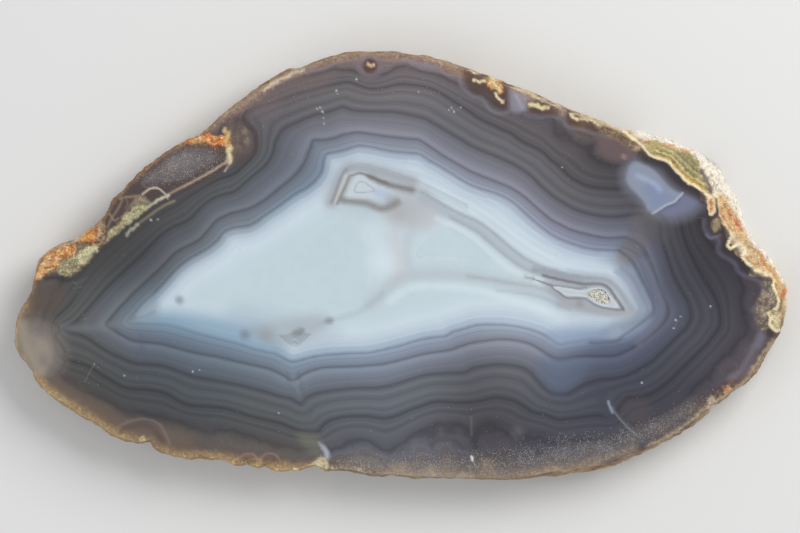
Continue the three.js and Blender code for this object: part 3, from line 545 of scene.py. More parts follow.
line("red side of the wedge", (168, 78, 32), 0.5, [(-54.7, 7.4), (-54.9, 6), (-54.8, 4.6), (-56.4, 4.3)],
    0.8, 0.25, 0.6)
line("light of the wedge", (240, 176, 88), 0.5, [(-57.4, 5), (-56.2, 5.5), (-55.4, 5.1)], 0.7, 0.3, 0.5)
line("cream side of the wedge", (182, 164, 132), 0.5, [(-54.2, 7.6), (-54.3, 6.2), (-54.6, 5), (-54, 4.4)],
    0.85, 0.25, 0.7)
line("cream rim of the patch", (238, 222, 186), 0.5, [(-65.9, -0.6), (-65, 1.1), (-63.2, 2.7), (-61, 3.7),
    (-59, 4.4), (-57.2, 5.6), (-55.4, 7.2), (-54.2, 8.2)], 0.85, 0.22, 0.6)
spots("cream crumb", (232, 202, 146), [(-65.2, -1.8, 0.5), (-64.2, 0.2, 0.5), (-63.4, 1.6, 0.4),
    (-62.2, 0.4, 0.35), (-61.6, 2.4, 0.4), (-64.6, -0.8, 0.4), (-60.2, 2.6, 0.35), (-63.2, -0.8, 0.35)],
    0.8, 0.25, 0.8)
spots("rust crumb", RUST, [(-63, 0.9, 0.4), (-60.6, 1.6, 0.45), (-64.6, 1, 0.3), (-61.8, 3.2, 0.3),
    (-59.4, 3.6, 0.35)], 0.8, 0.25, 0.6)
patch("tan lumps", (160, 150, 112), [(-62, -0.9), (-61.2, -2), (-59.4, -1.9), (-58, -0.7), (-57, 0.2),
    (-57.4, 1.2), (-59, 1.4), (-60.4, 0.9), (-61.6, 0.3)], 0.95, 0.25, 1)
patch("straw lumps", (216, 210, 164), [(-58.3, 1.8), (-57.6, 2.7), (-56.2, 3.3), (-54.6, 3.5), (-54.4, 2.9),
    (-55.8, 1.6), (-56.4, 0.6), (-57.4, 0.1), (-58, 0.7)], 0.98, 0.22, 1)
spot("grey oval", (112, 110, 98), (-57.9, 3.55), 0.35, 0.95, 0.2)
spot("grey oval end", (104, 102, 92), (-57.2, 3.7), 0.35, 0.95, 0.2)
line("patch shadow", (44, 40, 42), 0.8, [(-64, -2.4), (-62, -2.3), (-60.4, -2.7), (-58.8, -2.4),
    (-57.2, -1.1), (-55, 1), (-53, 3), (-51.2, 4.6), (-50, 5.2)], 0.75, 0.4)
patch("brown under the patch", (88, 76, 70), [(-66.6, -3.4), (-62.4, -3.4), (-60.4, -5), (-61, -7.6),
    (-64, -8.8), (-67.4, -7)], 0.7, 1.2)
lines("scratch", (136, 138, 140), 0.13, [[(-59.5, -3.4), (-58, -3.1), (-56.4, -2.3)], [(-58.8, -4.2),
    (-57.4, -3.9)], [(-59, -2.9), (-58.2, -3.6)]], 0.55, 0.12)

# Haze between the orange patch and the core
patch("haze of the upper left", (80, 79, 80), [(-57, -6), (-52, 0), (-46, 5), (-40, 9.6), (-36, 11.6),
    (-34, 14), (-39, 12.4), (-46, 8.6), (-52, 4), (-57, -0.6), (-60, -5)], 0.5, 2.6)

# The left lobe
patch("left lobe", (136, 127, 119), [(-68.8, -10.2), (-66, -9.9), (-63.4, -10.7), (-61.6, -12.6),
    (-60.8, -15), (-61, -17.6), (-62.6, -20), (-64.8, -20.8), (-66.8, -19), (-68.8, -15.4), (-69.6, -12.4)],
    0.72, 2.2)
line("left lobe glow", (160, 149, 132), 1.6, [(-68.2, -10.6), (-67.8, -13.6), (-66.6, -16.4), (-65, -19.2)],
    0.75, 1.1)
line("left lobe arc", (86, 78, 76), 0.5, [(-67.4, -9.1), (-64.6, -9.3), (-62.6, -10.2), (-61.4, -11.6),
    (-62.2, -12.9), (-60.9, -14.6), (-60.3, -16.6), (-60.9, -18.5), (-62.4, -20.2), (-64, -21)], 0.75, 0.5)
line("left lobe swirl", (164, 153, 136), 1, [(-66.6, -13), (-64.8, -13.8), (-63.5, -15.6), (-63.6, -17.8),
    (-65, -19.6)], 0.35, 0.9)
spot("left lobe light", (158, 147, 132), (-65, -15), 1.6, 0.7, 1.8)
line("left lobe inner arc", (110, 102, 98), 0.35, [(-62.6, -13.2), (-62, -15), (-62.2, -17.2),
    (-63.6, -19.4)], 0.6, 0.4)
line("left rim", (182, 154, 112), 1, [(-69.6, -12), (-69.3, -10), (-68.2, -7.6), (-67.2, -5.2),
    (-66.6, -3.2)], 0.85, 0.5, 0.5)
line("light thread to the lobe", (122, 122, 126), 1, [(-60.6, -11.2), (-58, -11.4), (-54, -11.2),
    (-51, -10.6)], 0.5, 0.9)

# The rim of the near edge, and the haze beside it
NEAR_RIM = [
    (-66, -20.4), (-64.6, -21.9), (-61, -24.3), (-56.4, -27.3), (-51.8, -30.3), (-47.4, -31.6),
    (-44.6, -32.4), (-42, -33.8), (-39.4, -34.5), (-35.8, -34.6), (-32.2, -34.9), (-29.3, -35.7),
    (-27.2, -35.6), (-25, -36), (-22.5, -36.6), (-20, -37), (-17.8, -36.7),
]
patch("dark of the far left bands", (66, 62, 60), [(-60, -3), (-54, 4), (-46, 12), (-40, 14), (-45, 7),
    (-53, -1)], 0.35, 2.2)
patch("haze of the near left", (106, 95, 84), [(-65.6, -20), (-58, -22.6), (-50, -26.6), (-42, -28.6),
    (-32, -30.6), (-24, -32.2), (-18, -33), (-17, -37), (-28, -37), (-40, -35.6), (-52, -31.6),
    (-62, -25.4)], 0.35, 1.6)
line("golden near rim", (172, 138, 92), 2, NEAR_RIM, 0.8, 0.8, 0.7)
line("pale near rim", (224, 200, 152), 0.5, [(x, y - 0.55) for x, y in NEAR_RIM], 0.7, 0.35, 0.8)
patch("brown of the near left", (112, 94, 80), [(-64.6, -21.2), (-61, -20.8), (-56, -23.8), (-51, -26.8),
    (-47, -28.4), (-42, -29), (-38, -30.8), (-38, -33), (-44, -33.6), (-50, -31.4), (-56, -27.8),
    (-62, -23.6)], 0.6, 1.5)
line("yellow of the near left", (166, 138, 96), 1.4, [(-65, -21.2), (-61.6, -24.1), (-57, -27.2),
    (-53, -29.6), (-50, -30.8)], 0.7, 0.9, 0.4)

# The edge of the core at its right end
line("grey round the kite", (158, 168, 184), 1.6, [(36.4, 1), (39, 0), (41, -2.6), (42.8, -5.6),
    (43.8, -7.8), (42.4, -10.4), (38, -11.8)], 0.5, 1.2)
line("light beyond the core", (118, 122, 138), 1.4, [(44.2, 0.6), (45.6, -3.4), (46.9, -7.2), (46, -10.6),
    (42.8, -13.8)], 0.5, 0.8)
line("dark edge of the core", (88, 91, 102), 0.6, [(39.3, 2.6), (41.9, 0.3), (43.6, -2.9), (45.2, -6.1),
    (45.4, -8.1), (44.1, -9.8), (40.1, -12.7), (38.4, -13.8), (34, -14)], 0.6, 0.3)
line("second edge of the core", (82, 85, 96), 0.5, [(43.5, 2.6), (45.8, -1.8), (48.1, -6.4), (48.2, -9.2),
    (46.4, -11.4), (43.6, -14)], 0.55, 0.3)

# The near edge again: its arches, crumbs, bulges and the crack
line("light arch", (152, 128, 122), 0.3, [(-51, -29.2), (-48.8, -28.1), (-46, -27.7), (-43.6, -28.6),
    (-42.2, -30.8), (-41.6, -32.4)], 0.45, 0.3)
line("brown arch", (84, 68, 64), 1, [(-50.4, -30), (-48.6, -29.1), (-46.2, -28.8), (-44.2, -29.8),
    (-43, -31.8)], 0.6, 0.5)
spot("cream spot", (214, 200, 152), (-46.6, -31.3), 0.45, 0.95, 0.25, 0.8)
patch("near cream patch", (128, 126, 106), [(-18.4, -30.6), (-15.4, -30.8), (-14.4, -32.2), (-14.8, -34),
    (-17.2, -33)], 0.45, 1.2)
patch("white crescent", (176, 182, 196), [(-14.8, -32.1), (-13.6, -32.7), (-12.9, -34), (-13, -35.1),
    (-13.5, -34.8), (-14, -33.5)], 0.85, 0.4)
for x, y in ((-27.5, -34.9), (-23.6, -34.9)):
    patch("brown bulge", (100, 78, 66), [(x - 1.5, y - 0.6), (x - 0.8, y + 0.5), (x + 0.8, y + 0.5),
        (x + 1.6, y - 0.6)], 0.7, 0.4, 0.3)
    line("rim of the bulge", (158, 130, 112), 0.28, [(x - 1.8, y - 0.4), (x - 0.9, y + 0.8),
        (x + 0.9, y + 0.8), (x + 1.9, y - 0.5)], 0.65, 0.25)
patch("brown by the tooth", (92, 78, 70), [(-13, -35), (-8, -35.4), (-3.8, -36.8), (-4, -38), (-9, -37.6),
    (-13, -37.4)], 0.65, 0.7, 0.4)
spots("cream crumb of the near rim", (232, 216, 180), [(-12.4, -36.6, 0.35), (-11.7, -36.9, 0.3),
    (-7.4, -36.9, 0.4), (-19, -36.8, 0.4)], 0.9, 0.2, 0.5)
line("pale arch by the tooth", (124, 124, 116), 0.7, [(-9.2, -35.3), (-7.4, -34.8), (-5.4, -35.2),
    (-3.6, -36)], 0.5, 0.4)
patch("cream tooth", (212, 196, 158), [(-17, -36.6), (-15.6, -35.4), (-14.6, -34.7), (-13.4, -34.9),
    (-13.2, -36.8), (-15, -37)], 0.8, 0.3, 0.9)
patch("white blob", (224, 224, 218), [(12.5, -34.3), (12.9, -34.3), (13.1, -35), (13, -35.4),
    (12.6, -35.2)], 0.95, 0.14)
line("tail of the blob", (150, 150, 152), 0.2, [(12.9, -35.3), (13.3, -35.9), (13.7, -36.5)], 0.6, 0.15)
line("faint upright", (134, 134, 140), 0.26, [(12.6, -27.4), (12.7, -29), (12.65, -30.6)], 0.32, 0.3)
spot("soft blob", (116, 116, 120), (21, -30.2), 1, 0.4, 1)
LOW_ARCHES = [
    ((3.8, -30), (8.3, -28.5), (12.2, -29.9)), ((13.2, -29.4), (16.5, -28.1), (21, -30.6)), ((21.4, -31),
    (25.5, -30.1), (29.5, -31.8)), ((5.4, -32.6), (8.3, -31.4), (11.2, -33)),
]
for left, top, right in LOW_ARCHES:
    line("low arch", (60, 58, 62), 0.7, [left, ((left[0] + top[0]) / 2 - 0.4, (left[1] + top[1]) / 2 + 0.4),
        top, ((right[0] + top[0]) / 2 + 0.4, (right[1] + top[1]) / 2 + 0.4), right], 0.55, 0.5)
patch("dark by the crack", (66, 66, 76), [(34.8, -22.8), (36.4, -23), (38, -26), (38.4, -28.4),
    (36.8, -27.4), (35.6, -25)], 0.6, 0.8)
line("crack shadow", (80, 78, 84), 0.35, [(37.6, -22.65), (37.9, -24.3), (38.9, -26.7), (39.9, -27.7),
    (41.2, -29.3)], 0.5, 0.3)
line("crack tail", (146, 146, 152), 0.22, [(38, -25.6), (38.8, -27), (40.2, -28.6), (41.8, -30.2),
    (42.8, -31)], 0.6, 0.2)
line("crack", (168, 182, 208), 0.36, [(37.3, -24.6), (37.6, -25.6), (38.1, -26.6)], 0.85, 0.25)
patch("brown by the crack", (92, 80, 78), [(39.6, -25.2), (43, -24), (45, -26), (43, -28.4), (40.6, -27.6)],
    0.32, 1.4)
spots("crumb at the near right", (222, 172, 116), [(59, -22.2, 0.45), (58.3, -22.9, 0.35),
    (56.5, -24.8, 0.45), (59.8, -21.4, 0.3), (55.4, -25.6, 0.3)], 0.85, 0.25, 0.9)
line("red-brown near the right rim", (104, 74, 66), 1, [(61.6, -18.6), (59.6, -20.8), (57.4, -22.8),
    (55.4, -24.6), (52, -27)], 0.6, 0.6, 0.3)

# The far edge: the round eye, the pods and the yellow bars
FAR_RIM = [
    (-34, 25), (-31, 27.2), (-28.6, 28.6), (-25.8, 30.6), (-22.4, 32.8), (-18, 34.9), (-13.4, 36.8),
    (-8.7, 37.4), (-3.9, 37.6), (0.8, 37.3), (4.6, 36.7), (8.4, 35.7), (13.2, 34.2), (18, 32.5),
    (22.8, 30.5), (28.6, 28.1), (34.2, 25.6),
]
line("pink far rim", (142, 114, 100), 1.6, FAR_RIM, 0.78, 0.7, 0.55)
line("pale far rim", (196, 170, 142), 0.5, [(x, y + 0.5) for x, y in FAR_RIM], 0.5, 0.35, 0.6)
patch("pink of the far left", (122, 104, 106), [(-27.1, 28.9), (-19.5, 32.9), (-12, 35), (-14, 31.9),
    (-19.5, 30.4), (-24.6, 26.9)], 0.45, 1.5, 0.2)
patch("pink far zone", (158, 132, 126), [(19.2, 33.3), (24, 31.1), (30.2, 28.5), (28.8, 26.8), (25.4, 29),
    (22, 30.2), (19.2, 30.9)], 0.7, 0.6, 0.5)
line("brown far edge", (124, 94, 82), 1.5, [(-26, 33.6), (-22, 35.4), (-17, 37.2), (-12, 38), (-7, 38.4),
    (-1, 38.2), (5, 37.2), (10, 35.6), (14, 34)], 0.4, 0.8, 0.4)
line("lilac line of the far edge", (146, 136, 146), 0.35, [(-24, 31.8), (-20, 33.6), (-17, 34.9),
    (-14, 35.4), (-11, 36.6), (-8, 36.9), (-5, 37.3), (-2, 36.7), (1, 36.9), (4, 36), (6.6, 35.6),
    (8, 34.4), (10.4, 34)], 0.6, 0.3)
patch("lilac by the round eye", (136, 130, 144), [(0, 36.8), (3.4, 37), (6.6, 35.9), (6, 34.9),
    (2.6, 35.6)], 0.4, 0.6)
spot("round eye halo", (126, 114, 120), (-5.6, 35.7), 2.3, 0.6, 0.6)
spot("round eye", (84, 56, 50), (-5.6, 35.8), 1.35, 0.92, 0.35)
line("round eye centre", (208, 178, 144), 0.6, [(-5.9, 36.1), (-5.3, 35.8), (-4.9, 35.9)], 0.95, 0.22, 0.5)
line("far cream rim", (226, 210, 180), 0.5, [(-24.7, 31.5), (-22.4, 33), (-19.6, 34.4), (-17.6, 35.2)], 0.8,
    0.3, 0.6)
patch("pod ground", (78, 54, 46), [(11, 35), (14, 35.2), (19, 32.6), (20.2, 29.8), (18.6, 28.2),
    (16.8, 28.6), (15.6, 30.6), (12.6, 31.2)], 0.8, 0.6)
patch("pod orange", (232, 172, 92), [(15.4, 34), (17.4, 33.4), (18.4, 31.8), (17.8, 30.8), (16.8, 31.8),
    (15.6, 32.4)], 0.95, 0.25, 1)
lines("pod stroke", (240, 224, 182), 0.45, [[(13, 33.3), (14, 33), (15, 33.1)], [(16, 34.4), (16.6, 33),
    (17.6, 31.6)], [(17, 30.8), (17.6, 30), (18.2, 29.3)], [(12.4, 35), (14, 34.6), (16, 34)]], 0.95, 0.2,
    0.6)
line("pod outline", (134, 126, 134), 0.55, [(10.6, 34.2), (10.8, 32.4), (12.6, 30.6), (14.6, 29.8),
    (16, 28), (18.2, 27.2), (20, 28)], 0.55, 0.4)
patch("lilac patch", (146, 142, 155), [(19.6, 31.4), (22.6, 30.2), (23.1, 28.4), (21.4, 27.4), (19.8, 28)],
    0.75, 0.6)
line("white of the lilac patch", (178, 174, 182), 0.5, [(20.6, 30.6), (21.3, 29.4), (21.8, 28.2)], 0.5, 0.4)
patch("bar ground", (78, 54, 46), [(22.8, 29.4), (25, 29.6), (28.4, 28), (28, 26.6), (24.4, 27),
    (23, 27.8)], 0.75, 0.4)
line("yellow bar", (230, 218, 164), 0.7, [(23.2, 28.8), (24.4, 28.7), (25.4, 28.3), (26.4, 28.3)], 0.95,
    0.2, 0.6)
line("bar lilac", (134, 127, 138), 0.5, [(22.4, 27), (24.6, 26.6), (26.6, 26.7), (28.4, 26.6)], 0.5, 0.4)
patch("second pod", (78, 54, 46), [(29.6, 27.6), (33, 26.8), (36.8, 25.2), (38.6, 23.6), (34, 24.2),
    (30.6, 25)], 0.8, 0.5)
line("second pod stroke", (236, 218, 176), 0.5, [(30.6, 27.6), (31.2, 26.4), (33.4, 26.3), (34.6, 25.9),
    (36, 25)], 0.9, 0.22, 0.7)
line("second pod outline", (132, 126, 136), 0.5, [(29.2, 27), (29.6, 25.2), (32.4, 24.4), (35.4, 23.4),
    (38.8, 22.6)], 0.5, 0.4)
patch("mauve blush", (120, 98, 100), [(36, 23.4), (41.4, 21.6), (42.2, 19.6), (38.6, 18.6), (35.4, 20.2)],
    0.55, 1.1)
spot("pink spot", (170, 136, 132), (40.1, 19.5), 0.4, 0.75, 0.35)
line("cream far edge", (224, 204, 166), 0.6, [(18, 33.4), (22, 31.4), (26, 29.7), (30.4, 28), (35, 26.2),
    (39.5, 24.4)], 0.75, 0.25, 0.6)
patch("brown before the ledge", (116, 92, 76), [(35.4, 25.4), (39, 23.8), (42.6, 21.6), (44.6, 19.8),
    (43.4, 19.6), (41.4, 20.8), (38.4, 22.6), (35.6, 24.2)], 0.75, 0.5, 0.7)
spot("cream in the brown", (196, 160, 140), (42.7, 21.1), 0.5, 0.8, 0.3, 0.5)

# The near right rim: frost on grey-brown, then lilac, red-brown and cream crumbs up to the broken edge
line("ground of the frost", (114, 108, 104), 3.2, [(-8, -36.4), (0, -37), (10, -37.4), (20, -36.6),
    (30, -34.8), (38, -32.6), (46, -29.2), (52, -26)], 0.42, 2, 0.3)
line("tan under the frost", (150, 130, 110), 1.3, [(-12, -37), (-4, -37.4), (4, -38.2), (14, -38.2),
    (24, -37.4), (34, -35.6), (38, -34.4), (42, -33)], 0.55, 0.8, 0.7)
patch("blue below the core", (88, 104, 128), [(24.6, -17), (30, -16.6), (33.4, -18), (31, -21.6),
    (28, -22.8), (25.4, -20.4)], 0.5, 1.5)
line("shade by the scratch", (62, 66, 82), 1.2, [(35.4, -22.6), (36.6, -25), (38, -27)], 0.45, 0.8)
line("lilac by the near right rim", (122, 118, 134), 1.5, [(65, -12.6), (63.8, -15), (62.5, -17.5),
    (61.3, -19.4), (59.6, -20.5)], 0.6, 0.6)
patch("red-brown by the rim", (76, 52, 44), [(55.3, -23.8), (56.9, -22.4), (59, -20.9), (60.6, -21.2),
    (59, -23.2), (56.5, -24.6)], 0.75, 0.45, 0.4)
NEAR_CRUMBS = [
    (68.1, -11.2), (67, -13.4), (64.9, -16.3), (63.3, -18.8), (62, -20.8), (59.5, -22.7), (56.6, -24.6),
    (55, -25.6), (52.4, -27.8), (48.4, -30.6), (44.4, -32.6),
]
line("dark inside the crumbs", (84, 66, 62), 0.9, [(x - 0.8, y + 0.8) for x, y in NEAR_CRUMBS[2:9]], 0.55,
    0.5)
spot("orange crumb of the rim", (222, 160, 110), (58.9, -22.6), 0.7, 0.8, 0.4, 0.8)
spot("cream crumb of the rim", (226, 208, 178), (56, -24.6), 0.7, 0.8, 0.4, 0.8)
line("cream crumbs of the near right rim", (182, 164, 136), 0.45, NEAR_CRUMBS, 0.7, 0.3, 0.8)

# The broken right edge: its painted shadow strip and arcs, the tan blob and the brown ground low down
BROKEN_EDGE = [
    (68, -11.9), (67.4, -12), (66.6, -11.2), (66.2, -10.6), (66.4, -9.6), (66, -9), (66.2, -8.6),
    (67, -8.2), (67.8, -7.4), (67.8, -6.2), (67.3, -5), (66.9, -4), (67.2, -3), (67.2, -2.4), (66.2, -1.9),
    (65.2, -1.4), (64.2, -1.1), (63.2, -0.5), (62.2, 0.2), (61.7, 1), (61.2, 1.4), (61.9, 2.2), (61.9, 2.8),
    (61.4, 3.5), (60.6, 3.6), (59.9, 3.3), (59.3, 2.9), (58.8, 3.2), (58.9, 4), (59.4, 5), (59.2, 6.3),
    (58.6, 6.8), (58, 7.7), (57.4, 8.9), (57, 10.6), (57, 12.4), (55.8, 12.7), (55.2, 12.3), (54.6, 12.9),
    (53.4, 13.8), (52, 14.6), (51.2, 15.1), (50.3, 16), (49.3, 17), (48.2, 18.3), (47.4, 18.7), (46, 19.2),
    (44.9, 19.6), (43.9, 20.5), (43.2, 21.5), (42, 22.6), (40, 24.1),
]
# A painted shadow runs along the inside of the broken edge.
line("painted shadow along the broken edge", (50, 42, 48), 1.7, [(x - 0.5, y - 0.5) for x, y in BROKEN_EDGE[:-3]], 0.85, 0.7)
line("lilac band", (100, 95, 112), 0.7, [(54.6, 8), (54.6, 6.6), (55.6, 5.1), (57.2, 4.6), (57, 2.8),
    (57.8, 1.7), (59.2, 0.9), (60.2, 0.1), (60.7, -1.1), (62, -2), (64, -2.7), (65, -3.7), (65.1, -5),
    (64.4, -6.6), (63.2, -8.2)], 0.6, 0.4)
line("lilac arc", (118, 118, 148), 0.3, [(54.9, 5.5), (55.6, 4.9), (56.6, 5.1), (57.4, 5.4)], 0.6, 0.25)
patch("tan blob", (166, 144, 112), [(56.5, 8.4), (57.3, 8), (57.4, 6.8), (56.5, 5.9), (56, 6.8), (56, 7.8)],
    0.85, 0.35, 0.8)
patch("brown ground", (112, 96, 86), [(65, -2.9), (66.8, -3.2), (67.6, -6), (67.4, -8), (66, -9),
    (66.2, -11), (65, -12), (63.8, -9.6), (64, -6.8), (65.2, -5)], 0.85, 0.6, 0.8)
spots("light of the brown ground", (182, 160, 144), [(65.3, -5.2, 0.5), (66.6, -5.6, 0.4), (65, -8, 0.5),
    (66.9, -6.6, 0.4), (65.4, -9, 0.4)], 0.6, 0.35, 0.6)

# The rind seen from above: white skin with a painted highlight, the olive ledge with its ridges,
# the groove with painted shade, stains and teeth
SKIN_LINE = [
    (68.6, -12.6), (69.2, -10), (69.4, -7), (69, -3), (67.4, -0.4), (65.6, 1.8), (64, 3.8), (62.4, 6.6),
    (61, 9.6), (59.6, 12.4), (58, 15.4), (56.4, 17.8), (53.8, 20.2), (50.2, 22), (46.6, 23.4), (42.6, 24.2),
    (39, 24.9),
]
line("pale skin", (238, 224, 198), 9, [(x + 1.2, y + 0.8) for x, y in SKIN_LINE[5:-2]], 0.96, 0.8, 0.5)
# The white skin and its shoulder are partly the rind's pale colour and partly a painted highlight.
line("white skin and painted highlight", (254, 248, 238), 4, [(x + 1.1, y + 0.7) for x, y in SKIN_LINE[5:-1]], 0.92, 0.8, 0.6)
patch("white shoulder and painted highlight", (254, 246, 232), [(54.4, 19.6), (55, 17.2), (56, 14.6), (57.2, 12.8), (59, 11.4),
    (60.6, 10.4), (60.4, 13.4), (58.6, 16.8), (56.6, 19)], 0.85, 0.5, 0.6)
SKIN_SPECKS = [
    (57.4, 17.6), (58.6, 15.2), (59.8, 16.2), (60.2, 13.4), (61.4, 11.2), (62.4, 8.4), (58, 19.2),
    (63.6, 6.2), (65, 3.8), (60.4, 15), (66.2, 1.4), (56.2, 16.2), (61.2, 13.2), (64, 7.6),
]
for number, place in enumerate(SKIN_SPECKS):
    spot("dark speck of the skin", (132, 106, 84), place, 0.16 + 0.07 * (number % 3), 0.75, 0.2, 0.3)
line("grey edge of the skin", (126, 118, 126), 0.6, [(53.2, 21.6), (54.6, 20.6), (55.9, 19.2),
    (56.8, 18.2)], 0.6, 0.35, 0.4)
# Partly the rind's pale colour, partly a painted highlight.
line("white outer skin and painted highlight", (254, 246, 232), 1.7, [(69.2, -2.6), (68.6, -0.8), (67.2, 1.4)], 0.9, 0.5, 0.6)
line("cream outer rim", (240, 220, 182), 1.3, [(69.4, -4.6), (69.8, -7), (69.9, -9.6), (69.4, -12)], 0.85,
    0.6, 0.6)
patch("olive ledge", (170, 156, 100), [(44.2, 22.2), (44.6, 20.6), (46, 19.8), (47.8, 19), (49.4, 17.6),
    (50.8, 16), (52.2, 15.1), (54, 14.2), (55.3, 13), (55.6, 13.6), (54.6, 15.4), (53.8, 16.8),
    (53.9, 18.2), (53, 19.6), (52, 20.4), (50, 21), (48.6, 21.4), (47, 22.1), (46, 22.6)], 0.96, 0.3, 0.3)
patch("green of the ledge", (118, 116, 78), [(49.6, 20.3), (51.6, 20.2), (53.2, 18.8), (53.6, 17),
    (52.8, 15.8), (51, 17.4), (49.8, 18.8)], 0.75, 0.5, 0.4)
RIDGES = [(0.5, (206, 168, 84), 0.3), (0.95, (112, 92, 40), 0.22), (1.35, (214, 204, 150), 0.26),
          (1.8, (122, 108, 58), 0.2), (2.3, (206, 194, 142), 0.24), (2.8, (118, 100, 60), 0.2)]
LEDGE_EDGE = BROKEN_EDGE[37:48]
for shift, colour, width in RIDGES:
    line("ridge of the ledge", colour, width,
         [(x + 0.66 * shift, y + 0.75 * shift) for x, y in LEDGE_EDGE], 0.85, 0.16, 0.5)
line("golden ridge", (186, 136, 40), 0.36, [(47.8, 18.9), (49, 18.1), (50.4, 16.8), (51.6, 16),
    (52.6, 15.2), (53.6, 14.5)], 0.9, 0.18, 0.3)
line("cream lip", (246, 232, 190), 0.5, [(x + 0.12, y + 0.12) for x, y in BROKEN_EDGE], 0.97, 0.16, 0.25)
# The groove's darkness is painted shade.
line("groove with painted shade", (92, 78, 86), 0.85, [(54.3, 17), (54.8, 15.8), (55.4, 14.4), (55.9, 13)], 0.9, 0.3, 0.3)
line("red-brown line", (132, 84, 68), 0.26, [(53.1, 20), (53.6, 19), (53.8, 18)], 0.8, 0.18)
patch("tooth", (240, 222, 184), [(55.1, 12.4), (55.2, 10), (55.5, 9), (56.1, 8.9), (56.5, 9.6),
    (56.4, 11.6), (56, 12.6)], 0.97, 0.16, 0.4)
patch("tooth middle", (206, 122, 44), [(55.5, 11.8), (55.6, 10), (55.9, 9.5), (56.1, 10), (56.1, 11.4),
    (55.8, 12)], 0.95, 0.16, 0.6)
# The gap's near-black is painted shade.
line("gap", (52, 42, 42), 0.4, [(56.8, 12), (56.9, 10.4), (56.9, 8.9)], 0.9, 0.18)
patch("orange cream inside the lip", (232, 184, 118), [(57.3, 12.6), (57.3, 9.2), (58.4, 7.2), (59.8, 6),
    (60.4, 4.6), (62.4, 3), (62.8, 1.4), (64.4, -0.4), (66.6, -1.6), (67.6, -3.6), (68.4, -6.4), (68.8, -4),
    (67.4, -0.6), (65.4, 1.6), (63.4, 4), (61.8, 6.8), (60.4, 9.4), (58.8, 12.2)], 0.8, 0.5, 0.9)
for colour, width, points in (
        ((200, 72, 54), 0.6, [(59.1, 9.6), (59.4, 9), (59.5, 8.6)]),
        ((208, 78, 44), 0.8, [(60.2, 8), (60.7, 7.2), (61.2, 6.4)]),
        ((206, 124, 46), 0.6, [(57.5, 10.2), (57.7, 9.2), (58.2, 8.4)]),
        ((214, 136, 54), 0.5, [(62.4, 1.3), (63, 0.6), (63.8, 0)]),
        ((198, 128, 56), 0.5, [(64.4, 2.6), (65.2, 1.6), (65.8, 0.2), (66.8, -1.2), (67.4, -1.9)]),
        ((216, 104, 34), 0.8, [(69.4, -4.4), (69.2, -5), (68.9, -5.7)]),
        ((190, 128, 62), 0.4, [(58.9, 7.2), (59.3, 6.4), (60.2, 6.2)]),
        ((166, 120, 46), 0.4, [(67.7, -3.7), (68.1, -4)]),
        ((204, 136, 60), 0.45, [(44, 22.1), (44.5, 22.2), (45, 22)]),
        ((222, 146, 76), 0.45, [(50.6, 20.9), (51.4, 20.8), (52.2, 20.5)]),
        ((226, 160, 96), 0.4, [(47, 21.7), (48.6, 21.6), (49.6, 21.2)])):
    line("stain", colour, width, points, 0.85, 0.28, 0.7)
lines("green hollow", (150, 156, 132), 0.4, [[(60.8, 5), (61.2, 4.6)], [(62.4, 4.2), (63.2, 3),
    (63.6, 2.2)], [(63.8, 1.6), (64.4, 0.8)]], 0.7, 0.3, 0.5)
patch("cream lumps low down", (236, 224, 180), [(66.4, -8.8), (67.6, -8), (68.4, -9), (68.2, -11),
    (67.6, -11.8), (66.8, -11), (66.7, -9.8)], 0.9, 0.3, 0.9)
spots("amber hole", (126, 92, 36), [(67, -8.5, 0.35), (66.9, -10.3, 0.3), (67.4, -10.9, 0.25)], 0.85, 0.22,
    0.3)

# Dust and scratches on the polish
DUST = [
    (-55.2, -17.8), (-49.8, -19.9), (-37.5, -19.2), (-36.3, -18.9), (49.1, -11.4), (49.4, -9.9),
    (50.3, -9.3), (55.7, -7.4), (43.4, -21.2), (-15.1, 28.2), (-14.6, 28.4), (-14.2, 27.6), (-14, 26.4),
    (-13.9, 25.4), (-11.6, 31.4), (-11.4, 30.8), (9.1, 28.3), (9.6, 27.6), (10.8, 28.4), (8.6, 27.9),
    (-45, 8.1), (-43.8, 8.2), (-22, -26.6), (-8, 33.4), (3.2, 31.2), (29, 17.6), (-29.4, 3.2), (-29.1, 2.7),
]
for number, place in enumerate(DUST):
    spot("dust", (214, 216, 216), place, 0.12 + 0.03 * (number % 3), 0.85, 0.12)
lines("fine scratch", (150, 152, 154), 0.12, [[(-55.2, -17.9), (-56, -19.2), (-56.9, -21)], [(-15.2, 27.8),
    (-14.2, 28.2), (-13.8, 27)], [(8.8, 28.6), (9.6, 27.8), (10.8, 28.2)], [(49.2, -11.2), (49.9, -10)]],
    0.5, 0.12)
print("marks:", len(MARKS), "from the", MARKS[0]["name"], "to the", MARKS[-1]["name"])

# %% [markdown]
# Frost. Where the polish missed the edge, the stone is covered with fine white dots, and a few lie
# elsewhere. Each frosted place has an outline in mm, a density and the width of its soft edge.

# %% The frosted places
FROST = [
    ([(-12, -36), (-4, -34.8), (6, -34.6), (16, -33.8), (28, -31.6), (38, -30.6), (46, -28), (54, -24.4),
      (57, -23.6), (52, -28), (44, -32), (32, -35.6), (18, -37.8), (2, -38.6), (-10, -38)], 0.75, 2),
    ([(-47, 14.6), (-42, 19), (-37, 21.4), (-32.6, 20.6), (-33.4, 17.6), (-38, 15.4), (-43, 14.4)], 0.8,
      1.2),
    ([(-40, 24), (-26, 31), (-12, 35.4), (2, 36), (12, 33.6), (12, 27), (0, 29), (-14, 28), (-24, 24),
      (-34, 17)], 0.012, 3),
    ([(-66, -4), (-58, -4), (-50, -14), (-44, -20), (-48, -29), (-60, -22), (-67, -14)], 0.008, 3),
]
LEAST_FROST = 0.002
print("frosted places:", len(FROST))

# %% [markdown]
# The stone's mesh. It has to carry every band, so its two flat sides need an even net of small faces.
# A remesh would give that, and would also round the edge of the polish. Here the model's own mesh is
# merged, each flat side is dissolved to one face, and straight cuts then slice it like a tray of
# fudge: first into strips, then across. The outline stays exactly where the model has it.

